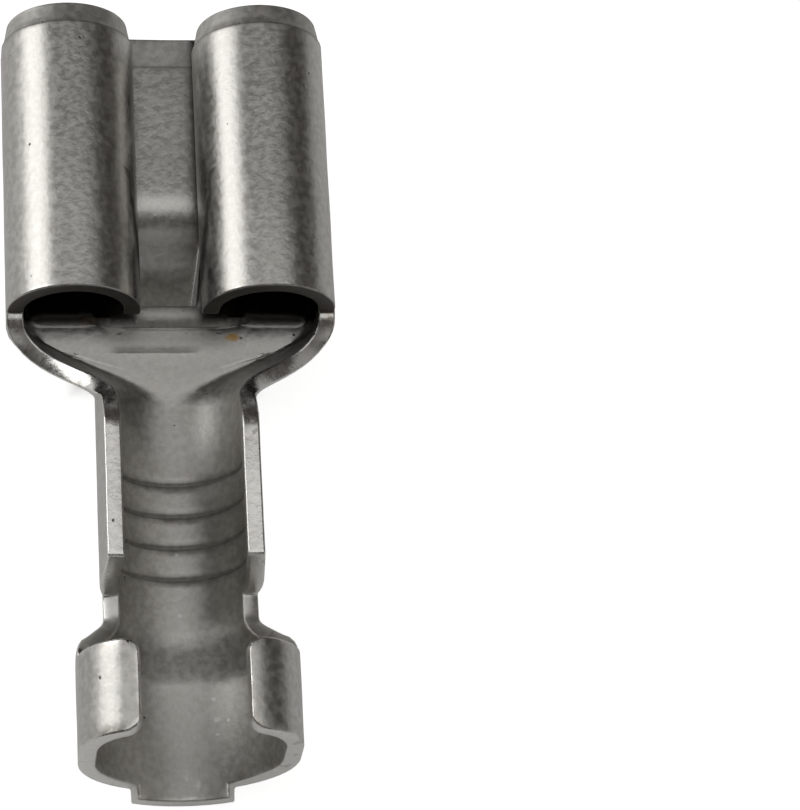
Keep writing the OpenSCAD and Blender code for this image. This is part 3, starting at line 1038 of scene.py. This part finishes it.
@dataclass
class Terminal:
    """The whole terminal, one sheet."""

    record: dict
    edge_round: float = 0.055
    burrs: tuple[Burr, ...] = (
        Burr((1.9, -10.1, 0.9), (0.1, 0.0, 0.02), 0.14),
        Burr((1.95, -14.55, 0.2), (0.12, -0.04, 0.0), 0.16),
    )
    unevenness: float = 0.012
    uneven_length: float = 1.7
    sharp_fold: float = 78.0
    smooth_fold: float = 50.0
    # Strengths of the shade painted in the serrations and in the crease.
    serration_dark: float = 0.45
    crease_dark: float = 0.5
    noise_seed: int = 1

    def build(self) -> bpy.types.Object:
        """Makes the sheet and returns it in metres, at the origin.

        Returns:
            The finished sheet.
        """
        receptacle = Receptacle(CAD_HIGH.x / MM)
        tongue = LockingTongue(receptacle)
        conductor = ConductorBarrel(Barrel.from_mount(self.record, "conductor_barrel"), receptacle)
        insulation = InsulationBarrel(
            Barrel.from_mount(self.record, "insulation_barrel"), conductor
        )
        bench = receptacle.roll()
        receptacle.shape_slots(bench)
        tongue.lance(bench)
        bench.move(receptacle.panel)
        self.front_stub(bench, receptacle)
        for part in (tongue, conductor, insulation):
            part.draw(bench)
        for shift in (conductor.slope, insulation.flatten, insulation.slope):
            bench.move(shift)
        piece = bench.close()
        self.mirror(piece)
        self.thicken(piece)

        def soil(p: Vector) -> float:
            """Says how much shade is painted on a point: in the serrations, in the crease, along
            the window's rims and on the receptacle's edges, from 0 to 1.

            Args:
                p: place of a point of the sheet.

            Returns:
                The painted shade.
            """
            grooves = self.serration_dark * conductor.groove(p)
            crease = self.crease_dark * conductor.crease(p)
            return max(grooves, crease, tongue.rim(p), receptacle.painted_edge_shade(p))

        # Painted shade, written on the points.
        self.write_share(piece, "soil", soil)
        # Painted shade on the faces hidden under the curls.
        self.write_share(piece, "inside", receptacle.inside)
        self.write_share(piece, "coined", receptacle.coined)
        self.stain_drawn(piece, conductor)
        self.measure_rims(piece)
        # Without a seed, Blender's noise would start from the clock.
        noise.seed_set(self.noise_seed)
        dies = [receptacle.coin, receptacle.level, conductor.serrate, conductor.fold]
        for die in (*dies, *(burr.pull for burr in self.burrs), self.handle):
            self.press(piece, die)
        bpy.ops.transform.resize(value=(MM, MM, MM), center_override=(0, 0, 0))
        bpy.ops.object.transform_apply(location=True, rotation=True, scale=True)
        bpy.ops.object.shade_smooth_by_angle(angle=math.radians(self.smooth_fold))
        return piece

    def front_stub(self, bench: Bench, receptacle: Receptacle) -> None:
        """Draws out the stub of the carrier strip in front of the mouth.

        Args:
            bench: the sheet under work.
            receptacle: the rolled part.
        """
        reach = receptacle.edge_column + receptacle.edge_shift
        bench.choose(
            Pick.EDGES, lambda p: p.y > -CLOSE and p.x < reach + CLOSE and p.z < -0.3
        )
        bench.extrude((0, receptacle.stub_length, 0))

    def work(self, piece: bpy.types.Object, kind: str, **settings: object) -> None:
        """Adds a modifier to the piece and applies it.

        Args:
            piece: the sheet.
            kind: Blender's name for the kind of modifier.
            settings: the modifier's settings.
        """
        modifier = piece.modifiers.new(kind.lower(), kind)
        for name, value in settings.items():
            setattr(modifier, name, value)
        bpy.ops.object.modifier_apply(modifier=modifier.name)

    def mirror(self, piece: bpy.types.Object) -> None:
        """Adds the left half.

        Args:
            piece: the sheet.
        """
        self.work(piece, "MIRROR", use_axis=(True, False, False), merge_threshold=10 * CLOSE)
        bpy.ops.object.mode_set(mode="EDIT")
        bpy.ops.mesh.select_all(action="SELECT")
        bpy.ops.mesh.remove_doubles(threshold=CLOSE)
        bpy.ops.mesh.normals_make_consistent(inside=False)
        bpy.ops.object.mode_set(mode="OBJECT")

    def thicken(self, piece: bpy.types.Object) -> None:
        """Gives the sheet its thickness and rounds its sheared edges.

        Args:
            piece: the sheet.
        """
        for _ in range(2):
            piece.data.materials.append(None)
        self.work(
            piece, "SOLIDIFY", thickness=SHEET, offset=0, use_even_offset=True,
            use_quality_normals=True, material_offset_rim=1,
        )
        self.work(
            piece, "BEVEL", limit_method="ANGLE", angle_limit=math.radians(self.sharp_fold),
            width=self.edge_round, segments=3, use_clamp_overlap=False,
        )

    def press(self, piece: bpy.types.Object, die: Shift) -> None:
        """Moves every point of the thick sheet.

        Args:
            piece: the thick sheet.
            die: gives the move for a point's place.
        """
        for point in piece.data.vertices:
            point.co += die(point.co)
        piece.data.update()

    def handle(self, p: Vector) -> Vector:
        """Returns the slight unevenness that rolling and handling leave at a point."""
        return noise.noise_vector(p / self.uneven_length) * self.unevenness

    def write_share(self, piece: bpy.types.Object, name: str, share: Callable[[Vector], float]) -> None:
        """Writes a share from 0 to 1 on every point, as an attribute.

        Args:
            piece: the thick sheet.
            name: name of the attribute.
            share: gives the value for a point's place.
        """
        layer = piece.data.attributes.new(name, "FLOAT", "POINT")
        layer.data.foreach_set("value", [share(point.co) for point in piece.data.vertices])

    def stain_drawn(self, piece: bpy.types.Object, conductor: ConductorBarrel) -> None:
        """Writes 1 on the matt inner faces behind the receptacle, as an attribute.

        Args:
            piece: the sheet.
            conductor: the conductor barrel.
        """
        start, axis = conductor.shoulder_start - 0.4, conductor.barrel.axis
        layer = piece.data.attributes.new("drawn", "FLOAT", "POINT")
        for point, share in zip(piece.data.vertices, layer.data):
            away = Vector((point.co.x, 0, point.co.z - axis - 0.6)).dot(point.normal)
            share.value = ease((-point.co.y - start) / 0.8) if away < 0 else 0.0

    def measure_rims(self, piece: bpy.types.Object) -> None:
        """Writes each point's distance to the nearest sheared edge, in millimetres.

        Args:
            piece: the sheet.
        """
        mesh = piece.data
        sheared = [face for face in mesh.polygons if face.material_index == 1]
        rims = {v for face in sheared for v in face.vertices}
        tree = kdtree.KDTree(len(rims))
        for index in sorted(rims):
            tree.insert(mesh.vertices[index].co, index)
        tree.balance()
        layer = mesh.attributes.new("rim_gap", "FLOAT", "POINT")
        gaps = [tree.find(point.co)[2] for point in mesh.vertices]
        layer.data.foreach_set("value", gaps)


Colour = Triple
Socket = bpy.types.NodeSocket
# What an input takes: a value, or another node's output.
Feed = object
NOWHERE = (0.0, 0.0, 0.0)


class Graph:
    """Nodes and links of one material, node group or world."""

    def __init__(self, tree: bpy.types.NodeTree) -> None:
        """Takes a node tree and empties it."""
        self.tree = tree
        tree.nodes.clear()

    def put(self, kind: str, feeds: dict | None = None, **settings: object) -> bpy.types.Node:
        """Adds a node.

        Args:
            kind: Blender's full name for the kind of node.
            feeds: what its inputs take, by name or number: a value or another node's output.
            settings: its own settings.

        Returns:
            The node.
        """
        node = self.tree.nodes.new(kind)
        for name, value in settings.items():
            setattr(node, name, value)
        for socket, feed in (feeds or {}).items():
            if isinstance(feed, Socket):
                self.tree.links.new(feed, node.inputs[socket])
            else:
                node.inputs[socket].default_value = feed
        return node

    def place(self) -> Socket:
        """Returns the place on the piece, in millimetres.

        Returns:
            The place.
        """
        where = self.put("ShaderNodeTexCoord").outputs["Object"]
        feeds = {"Vector": where, "Scale": (1 / MM, 1 / MM, 1 / MM)}
        return self.put("ShaderNodeMapping", feeds).outputs[0]

    def attribute(self, name: str) -> Socket:
        """Returns a value that the sheet carries on its points."""
        return self.put("ShaderNodeAttribute", attribute_name=name).outputs["Fac"]

    def vector(self, operation: str, first: Feed, second: Feed = NOWHERE) -> bpy.types.NodeOutputs:
        """Works out a vector sum and returns the node's outputs."""
        feeds = {0: first, 1: second}
        return self.put("ShaderNodeVectorMath", feeds, operation=operation).outputs

    def reckon(self, operation: str, *terms: Feed, clamp: bool = False) -> Socket:
        """Works out a sum of numbers that change over the surface.

        Args:
            operation: Blender's name for the sum.
            terms: what goes in, in order.
            clamp: whether the result is kept from 0 to 1.

        Returns:
            The result.
        """
        feeds = dict(enumerate(terms))
        node = self.put("ShaderNodeMath", feeds, operation=operation, use_clamp=clamp)
        return node.outputs[0]

    def ramp(
        self, value: Feed, low: Feed, high: Feed, start: Feed = 0.0, end: Feed = 1.0
    ) -> Socket:
        """Turns a value between low and high smoothly into one between start and end.

        Args:
            value: the value.
            low: the value that gives start.
            high: the value that gives end.
            start: the result at low.
            end: the result at high.

        Returns:
            The result.
        """
        feeds = {0: value, 1: low, 2: high, 3: start, 4: end}
        node = self.put("ShaderNodeMapRange", feeds, interpolation_type="SMOOTHSTEP")
        return node.outputs[0]

    def blend(self, share: Feed, first: Feed, second: Feed) -> Socket:
        """Blends two colours.

        Args:
            share: how much of the second colour shows.
            first: the first colour.
            second: the second colour.

        Returns:
            The blended colour.
        """
        node = self.put("ShaderNodeMix", {0: share}, data_type="RGBA")
        for socket, feed in ((6, first), (7, second)):
            if isinstance(feed, Socket):
                self.tree.links.new(feed, node.inputs[socket])
            else:
                node.inputs[socket].default_value = (*feed, 1)
        return node.outputs[2]

    def noise(
        self, place: Feed, grain: Feed, detail: float = 2.0, seed: float = 0.0
    ) -> Socket:
        """Gives a smooth noise whose lumps are grain millimetres apart.

        Args:
            place: where, in millimetres.
            grain: distance between lumps.
            detail: how much finer noise is added.
            seed: picks one noise out of many.

        Returns:
            The noise, from 0 to 1.
        """
        scale = self.reckon("DIVIDE", 1.0, grain)
        feeds = {"Vector": place, "Scale": scale, "Detail": detail, "W": seed}
        node = self.put("ShaderNodeTexNoise", feeds, noise_dimensions="4D")
        return node.outputs["Fac"]


class Effect:
    """A surface effect that several finishes share, kept as a node group."""

    def __init__(self, name: str, takes: dict[str, object], gives: list[str]) -> None:
        """Starts the group.

        Args:
            name: name of the effect.
            takes: its inputs besides Place, with their usual values; three make a vector.
            gives: names of its outputs.
        """
        self.tree = bpy.data.node_groups.new(name, "ShaderNodeTree")
        self.graph = Graph(self.tree)
        for label, value in {"Place": NOWHERE, **takes}.items():
            kind = "NodeSocketVector" if isinstance(value, tuple) else "NodeSocketFloat"
            socket = self.tree.interface.new_socket(name=label, in_out="INPUT", socket_type=kind)
            socket.default_value = value
        for label in gives:
            self.tree.interface.new_socket(
                name=label, in_out="OUTPUT", socket_type="NodeSocketFloat"
            )
        self.takes = self.graph.put("NodeGroupInput").outputs
        self.gives = self.graph.put("NodeGroupOutput").inputs

    def give(self, label: str, value: Socket) -> None:
        """Sends a value to one of the group's outputs."""
        self.tree.links.new(value, self.gives[label])

    def place_in(self, graph: Graph, feeds: dict) -> bpy.types.NodeOutputs:
        """Places the effect in a material and returns its outputs."""
        return graph.put("ShaderNodeGroup", feeds, node_tree=self.tree).outputs


class Workshop:
    """The shared effects, each built once."""

    def __init__(self) -> None:
        """Builds every effect."""
        self.grain = self.build_grain()
        self.rub = self.build_rub()
        self.spot = self.build_spot()
        self.pits = self.build_pits()

    def build_grain(self) -> Effect:
        """Builds the mottled patches and the fine grain of a plated sheet.

        Returns:
            The effect.
        """
        labels = ["Patches", "Grain", "Height"]
        effect = Effect("plated grain", {"Patch": 0.4, "Grain": 0.1}, labels)
        graph, takes = effect.graph, effect.takes
        patches = graph.ramp(graph.noise(takes["Place"], takes["Patch"], 3.0), 0.32, 0.68)
        grain = graph.noise(takes["Place"], takes["Grain"], 2.0, 4.0)
        height = graph.reckon("MULTIPLY_ADD", patches, 1.1, grain)
        for label, value in zip(labels, (patches, grain, height)):
            effect.give(label, value)
        return effect

    def build_rub(self) -> Effect:
        """Builds the uneven wear along sheared edges.

        Returns:
            The effect.
        """
        effect = Effect("edge rub", {"Gap": 1.0, "Reach": 0.2}, ["Rub"])
        graph, takes = effect.graph, effect.takes
        ragged = graph.noise(takes["Place"], 0.35, 3.0, 2.0)
        reach = graph.reckon("MULTIPLY", takes["Reach"], graph.ramp(ragged, 0.35, 0.7))
        effect.give("Rub", graph.ramp(takes["Gap"], 0.0, reach, 1.0, 0.0))
        return effect

    def build_spot(self) -> Effect:
        """Builds one spot with a ragged outline.

        Returns:
            The effect.
        """
        inputs = {"Centre": NOWHERE, "Spread": (1.0, 1.0, 1.0), "Ragged": 1.1}
        effect = Effect("ragged spot", inputs, ["Spot"])
        graph, takes = effect.graph, effect.takes
        off = graph.vector("SUBTRACT", takes["Place"], takes["Centre"])[0]
        off = graph.vector("DIVIDE", off, takes["Spread"])[0]
        far = graph.vector("LENGTH", off)["Value"]
        ragged = graph.noise(takes["Place"], 0.12, 2.0, 7.0)
        shift = graph.reckon("MULTIPLY", graph.reckon("SUBTRACT", ragged, 0.5), takes["Ragged"])
        effect.give("Spot", graph.ramp(graph.reckon("ADD", far, shift), 0.35, 1.05, 1.0, 0.0))
        return effect

    def build_pits(self) -> Effect:
        """Builds scattered small pits, in some of the cells only.

        Returns:
            The effect.
        """
        inputs = {"Spacing": 0.5, "Size": 0.05, "Share": 0.3}
        effect = Effect("scattered pits", inputs, ["Pits"])
        graph, takes = effect.graph, effect.takes
        scale = graph.reckon("DIVIDE", 1.0, takes["Spacing"])
        cells = graph.put("ShaderNodeTexVoronoi", {"Vector": takes["Place"], "Scale": scale})
        far = graph.reckon("MULTIPLY", cells.outputs["Distance"], takes["Spacing"])
        pick = graph.put("ShaderNodeSeparateColor", {0: cells.outputs["Color"]}).outputs[0]
        pitted = graph.ramp(pick, 0.0, takes["Share"], 1.0, 0.0)
        size = graph.reckon("MULTIPLY", takes["Size"], pitted)
        size = graph.reckon("ADD", size, 1e-5)
        effect.give("Pits", graph.ramp(far, graph.reckon("MULTIPLY", size, 0.4), size, 1.0, 0.0))
        return effect


class Kind(Enum):
    """Kinds of local mark on the plating; GLINT marks are painted highlights."""

    BRASS = "brass showing through"
    SOIL = "dark speck"
    # Near-white specks that paint the glints of small facets; the two streaks at the wire end also
    # stand for bright scratches.
    GLINT = "small bright scratch"


@dataclass(frozen=True)
class Mark:
    """A local mark: its kind, its centre and its half sizes, in millimetres."""

    kind: Kind
    centre: Triple
    spread: Triple


# Each mark's centre and half sizes.
PLACES = {
    Kind.BRASS: (
        ((1.52, -7.62, -0.56), (0.2, 0.13, 0.2)),
        ((-1.9, -7.2, -0.5), (0.5, 0.09, 0.3)),
        ((3.75, -6.9, 0.2), (0.3, 1.1, 0.5)),
    ),
    Kind.SOIL: (
        ((1.72, -7.64, -0.56), (0.06, 0.05, 0.1)),
        ((0.42, -7.52, -0.56), (0.06, 0.06, 0.1)),
        ((0.36, -7.02, -0.45), (0.07, 0.05, 0.15)),
        ((0.47, -0.75, -0.54), (0.1, 0.06, 0.1)),
        ((0.86, -9.05, -0.7), (0.08, 0.05, 0.2)),
    ),
    # Painted glints: the specks along the panel's rear edge and in the troughs, and bright
    # scratches at the wire end.
    Kind.GLINT: (
        ((-0.22, -4.45, -0.6), (0.08, 0.05, 0.2)),
        ((-0.76, -7.26, -0.48), (0.07, 0.05, 0.15)),
        ((-0.45, -7.22, -0.48), (0.16, 0.03, 0.15)),
        ((-1.2, -7.24, -0.48), (0.07, 0.04, 0.15)),
        ((0.02, -13.0, -0.8), (0.06, 0.06, 0.2)),
        ((0.04, -14.5, -0.9), (0.07, 0.07, 0.2)),
        ((0.78, -16.45, -1.0), (0.07, 0.06, 0.2)),
        ((0.83, -16.95, -1.0), (0.1, 0.08, 0.2)),
        ((1.08, -17.0, -0.9), (0.06, 0.05, 0.2)),
        ((0.83, -17.3, -1.0), (0.07, 0.05, 0.2)),
        ((0.1, -18.2, -1.15), (0.07, 0.2, 0.2)),
        ((0.35, -18.45, -1.15), (0.1, 0.14, 0.2)),
    ),
}
MARKS = tuple(Mark(kind, *place) for kind, places in PLACES.items() for place in places)


@dataclass(frozen=True)
class MetalFinish:
    """How a metal skin of the sheet looks."""

    name: str
    light: Colour
    dark: Colour
    brass: Colour
    roughness: float
    roughness_patches: float
    roughness_grain: float
    drawn_roughness: float
    patch: float
    grain: float
    height: float
    rub: float
    rub_light: float
    brass_edge: float
    pits: float
    marks: tuple[Mark, ...] = ()
    # Colours and shares for painted glints, painted shade under the curls, dirt with painted shade,
    # and rubbed edges.
    bright: Colour = (0.97, 0.96, 0.94)
    rubbed: Colour = (0.8, 0.79, 0.76)
    shaded: Colour = (0.035, 0.033, 0.03)
    dirt_and_shade_colour: Colour = (0.055, 0.048, 0.04)
    bright_share: float = 0.9
    shaded_share: float = 0.97
    dirt_and_shade_share: float = 0.85
    coined_roughness: float = 0.2
    dirt_and_shade_roughness: float = 0.3
    glint_roughness: float = 0.15
    rub_roughness: float = -0.08
    pit_spacing: float = 0.42
    pit_size: float = 0.05
    pit_height: float = -0.012
    pit_dirt: float = 0.75
    speck_dirt: float = 0.6

    def build(self, workshop: Workshop) -> bpy.types.Material:
        """Makes the finish.

        Args:
            workshop: the shared effects.

        Returns:
            The material.
        """
        material = bpy.data.materials.new(self.name)
        material.use_nodes = True
        graph = Graph(material.node_tree)
        place = graph.place()
        names = ("rim_gap", "soil", "coined", "inside", "drawn")
        gap, soil, coined, inside, drawn = (graph.attribute(name) for name in names)
        feeds = {"Place": place, "Patch": self.patch, "Grain": self.grain}
        skin = workshop.grain.place_in(graph, feeds)
        feeds = {
            "Place": place, "Spacing": self.pit_spacing,
            "Size": self.pit_size, "Share": self.pits,
        }
        pits = workshop.pits.place_in(graph, feeds)[0]
        feeds = {"Place": place, "Gap": gap, "Reach": self.rub}
        rub = workshop.rub.place_in(graph, feeds)[0]
        broken = graph.ramp(graph.noise(place, 0.5, 3.0, 11.0), 0.5, 0.72)
        bare = graph.reckon("MULTIPLY", self.brass_edge, broken)
        bare = graph.reckon("MULTIPLY", bare, graph.ramp(gap, 0.02, 0.3, 1.0, 0.15))
        # Painted shade from the sheet joined with pits; the dark specks are added below.
        dirt_and_shade = graph.reckon("MAXIMUM", soil, graph.reckon("MULTIPLY", pits, self.pit_dirt))
        masks: dict[Kind, Feed] = {Kind.BRASS: bare, Kind.SOIL: dirt_and_shade, Kind.GLINT: 0.0}
        for mark in self.marks:
            feeds = {"Place": place, "Centre": mark.centre, "Spread": mark.spread}
            spot = workshop.spot.place_in(graph, feeds)[0]
            if mark.kind is Kind.SOIL:
                spot = graph.reckon("MULTIPLY", spot, self.speck_dirt)
            masks[mark.kind] = graph.reckon("MAXIMUM", masks[mark.kind], spot)
        bare, dirt_and_shade, glints = (masks[kind] for kind in Kind)
        rub = graph.reckon("MULTIPLY", rub, graph.reckon("MULTIPLY_ADD", dirt_and_shade, -1.0, 1.0))
        colour = graph.blend(skin["Patches"], self.dark, self.light)
        colour = graph.blend(bare, colour, self.brass)
        # Painted glints, painted shade, dirt with painted shade, and rubbed edges are blended in
        # turn.
        for mask, share, tint in (
            (glints, self.bright_share, self.bright),
            # Painted shade under the curls, nearly black.
            (inside, self.shaded_share, self.shaded),
            (dirt_and_shade, self.dirt_and_shade_share, self.dirt_and_shade_colour),
            (rub, self.rub_light, self.rubbed),
        ):
            colour = graph.blend(graph.reckon("MULTIPLY", mask, share), colour, tint)
        rough: Feed = self.roughness
        for mask, change in (
            (skin["Patches"], self.roughness_patches),
            (skin["Grain"], self.roughness_grain),
            (coined, self.coined_roughness),
            (drawn, self.drawn_roughness),
            (dirt_and_shade, self.dirt_and_shade_roughness),
            (glints, self.glint_roughness),
            (rub, self.rub_roughness),
        ):
            rough = graph.reckon("MULTIPLY_ADD", mask, change, rough, clamp=mask is rub)
        height = graph.reckon("MULTIPLY", skin["Height"], self.height)
        height = graph.reckon("MULTIPLY_ADD", pits, self.pit_height, height)
        bump = graph.put("ShaderNodeBump", {"Height": height, "Distance": MM, "Strength": 1.0})
        feeds = {
            "Base Color": colour, "Metallic": 1.0, "Roughness": rough,
            "Normal": bump.outputs[0],
        }
        shader = graph.put("ShaderNodeBsdfPrincipled", feeds)
        graph.put("ShaderNodeOutputMaterial", {0: shader.outputs[0]})
        return material


TIN_PLATE = MetalFinish(
    name="tin plate",
    light=(0.63, 0.62, 0.59),
    dark=(0.48, 0.47, 0.44),
    brass=(0.55, 0.36, 0.16),
    roughness=0.25,
    roughness_patches=0.08,
    roughness_grain=0.12,
    drawn_roughness=0.12,
    patch=0.17,
    grain=0.06,
    height=0.0018,
    rub=0.16,
    rub_light=0.6,
    brass_edge=0.12,
    pits=0.45,
    marks=MARKS,
)
SHEARED_EDGE = MetalFinish(
    name="sheared edge",
    light=(0.39, 0.38, 0.355),
    dark=(0.3, 0.29, 0.265),
    brass=(0.5, 0.36, 0.18),
    roughness=0.34,
    roughness_patches=0.1,
    roughness_grain=0.14,
    drawn_roughness=0.0,
    patch=0.3,
    grain=0.09,
    height=0.0015,
    rub=0.12,
    rub_light=0.2,
    brass_edge=0.4,
    pits=0.2,
)


@dataclass(frozen=True)
class Lamp:
    """A soft box: where it hangs, what it faces, its size and its brightness."""

    name: str
    place: Triple
    faces: Triple
    width: float
    height: float
    brightness: float

    def build(self) -> None:
        """Hangs the lamp, unseen by the camera itself."""
        light = bpy.data.lights.new(self.name, "AREA")
        light.shape = "RECTANGLE"
        light.size, light.size_y = self.width * MM, self.height * MM
        light.energy = self.brightness * math.pi * light.size * light.size_y
        lamp = bpy.data.objects.new(self.name, light)
        lamp.location = Vector(self.place) * MM
        way = Vector(self.faces) * MM - lamp.location
        lamp.rotation_euler = way.to_track_quat("-Z", "Y").to_euler()
        lamp.visible_camera = False
        bpy.context.scene.collection.objects.link(lamp)


@dataclass
class Studio:
    """Camera, lamps, floor and backdrop."""

    lamps: tuple[Lamp, ...] = (
        Lamp("key", (-112, 42, 52), (0, -6, 0), 80, 95, 2.3),
        Lamp("overhead", (5, 10, 150), (0, 10, 0), 95, 220, 0.9),
        Lamp("rear overhead", (5, -182, 130), (0, -182, 0), 95, 196, 0.5),
        Lamp("fill", (85, -38, 42), (0, -9, 0), 60, 60, 0.3),
    )
    room: Colour = (0.05, 0.046, 0.041)
    floor_colour: Colour = (0.74, 0.74, 0.73)
    floor_lift: float = 0.85
    glossy_share: float = 0.25
    tongue_tip: Pair = (-6.4, -2.53)
    wire_end: Pair = (-18.5, -1.6)
    # A rectangle under the receptacle where the floor's glow is held back, painting a shadow.
    shade_centre: float = -4.6
    shade_half: Pair = (1.9, 3.4)
    shade_edge: Pair = (-0.4, 0.6)
    horizon: Pair = (-0.02, 0.05)
    camera_place: Triple = (-6.89, -40.2, 78.77)
    camera_turn: Triple = (21.47, -7.59, -3.27)
    film: float = 36.0
    focal_length: float = 160.35556

    def build(self) -> None:
        """Sets up the whole studio."""
        bpy.context.scene.view_settings.view_transform = "Standard"
        self.camera()
        for lamp in self.lamps:
            lamp.build()
        self.surroundings()
        self.floor()

    def camera(self) -> None:
        """Places the camera behind and above the wire end."""
        scene = bpy.context.scene
        lens = bpy.data.cameras.new("camera")
        lens.sensor_width = self.film
        lens.lens = self.focal_length
        lens.clip_start, lens.clip_end = 0.001, 10
        camera = bpy.data.objects.new("camera", lens)
        camera.location = Vector(self.camera_place) * MM
        camera.rotation_euler = [math.radians(angle) for angle in self.camera_turn]
        scene.collection.objects.link(camera)
        scene.camera = camera

    def rays(self, graph: Graph) -> tuple[Socket, Socket]:
        """Returns two masks: for rays from the camera, and for mirrored ones.

        Args:
            graph: the nodes to add to.

        Returns:
            Both masks.
        """
        rays = graph.put("ShaderNodeLightPath").outputs
        mirrored = graph.reckon("MAXIMUM", rays["Is Glossy Ray"], rays["Is Transmission Ray"])
        return rays["Is Camera Ray"], mirrored

    def surroundings(self) -> None:
        """Makes the dim room, with the pale backdrop low behind everything."""
        world = bpy.data.worlds.new("studio")
        bpy.context.scene.world = world
        world.use_nodes = True
        graph = Graph(world.node_tree)
        way = graph.put("ShaderNodeTexCoord").outputs["Generated"]
        rise = graph.put("ShaderNodeSeparateXYZ", {0: way}).outputs["Z"]
        direct, mirrored = self.rays(graph)
        low = graph.ramp(rise, *self.horizon, 1.0, 0.0)
        mirrored = graph.reckon("MULTIPLY", mirrored, low)
        mirrored = graph.reckon("MULTIPLY", mirrored, self.glossy_share)
        seen = graph.reckon("MAXIMUM", direct, mirrored, clamp=True)
        room = graph.put("ShaderNodeBackground", {"Color": (*self.room, 1)})
        white = graph.put("ShaderNodeBackground", {"Color": (1, 1, 1, 1)})
        both = graph.put("ShaderNodeMixShader", {0: seen, 1: room.outputs[0], 2: white.outputs[0]})
        graph.put("ShaderNodeOutputWorld", {0: both.outputs[0]})

    def floor(self) -> None:
        """Lays the floor under the tongue's tip and the wire end."""
        front, rear = self.tongue_tip, self.wire_end
        tilt = math.atan2(front[1] - rear[1], front[0] - rear[0])
        bpy.ops.object.select_all(action="DESELECT")
        bpy.ops.mesh.primitive_plane_add(
            size=3, location=(0, front[0] * MM, front[1] * MM), rotation=(tilt, 0, 0)
        )
        floor = bpy.context.active_object
        floor.name = "floor"
        bpy.ops.object.transform_apply(location=True, rotation=True, scale=True)
        floor.data.materials.append(self.floor_material())
        log.info("floor: tilted %.2f degrees", math.degrees(tilt))

    def floor_material(self) -> bpy.types.Material:
        """Makes a pale floor that goes to white away from the shadow, and holds its glow back in a
        rectangle under the receptacle as a painted shadow.

        Returns:
            The material.
        """
        material = bpy.data.materials.new("pale floor")
        material.use_nodes = True
        graph = Graph(material.node_tree)
        at = graph.put("ShaderNodeSeparateXYZ", {0: graph.place()}).outputs
        along = graph.reckon("ADD", at["Y"], -self.shade_centre)
        off = [
            graph.reckon("SUBTRACT", graph.reckon("ABSOLUTE", place), half)
            for place, half in zip((at["X"], along), self.shade_half)
        ]
        # Painted shadow: no glow inside the rectangle under the receptacle.
        open_floor = graph.ramp(graph.reckon("MAXIMUM", *off), *self.shade_edge)
        direct, mirrored = self.rays(graph)
        seen = graph.reckon("MULTIPLY_ADD", mirrored, self.glossy_share, direct)
        lift = graph.reckon("MULTIPLY", graph.reckon("MULTIPLY", seen, open_floor), self.floor_lift)
        matt = graph.put("ShaderNodeBsdfDiffuse", {"Color": (*self.floor_colour, 1)})
        glow = graph.put("ShaderNodeEmission", {"Strength": lift})
        both = graph.put("ShaderNodeAddShader", {0: matt.outputs[0], 1: glow.outputs[0]})
        clear = graph.put("ShaderNodeBsdfTransparent")
        under = graph.put("ShaderNodeNewGeometry").outputs["Backfacing"]
        side = graph.put("ShaderNodeMixShader", {0: under, 1: both.outputs[0], 2: clear.outputs[0]})
        graph.put("ShaderNodeOutputMaterial", {0: side.outputs[0]})
        return material


def main() -> None:
    """Builds the terminal and its studio in order."""
    sheet = Terminal(frame["record"]).build()
    workshop = Workshop()
    sheet.data.materials.clear()
    for finish in (TIN_PLATE, SHEARED_EDGE):
        sheet.data.materials.append(finish.build(workshop))
    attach(sheet, "root")
    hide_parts("terminal")
    mesh = sheet.data
    log.info("%s: %d points, %d faces", sheet.name, len(mesh.vertices), len(mesh.polygons))
    Studio().build()


if __name__ == "__main__":
    main()
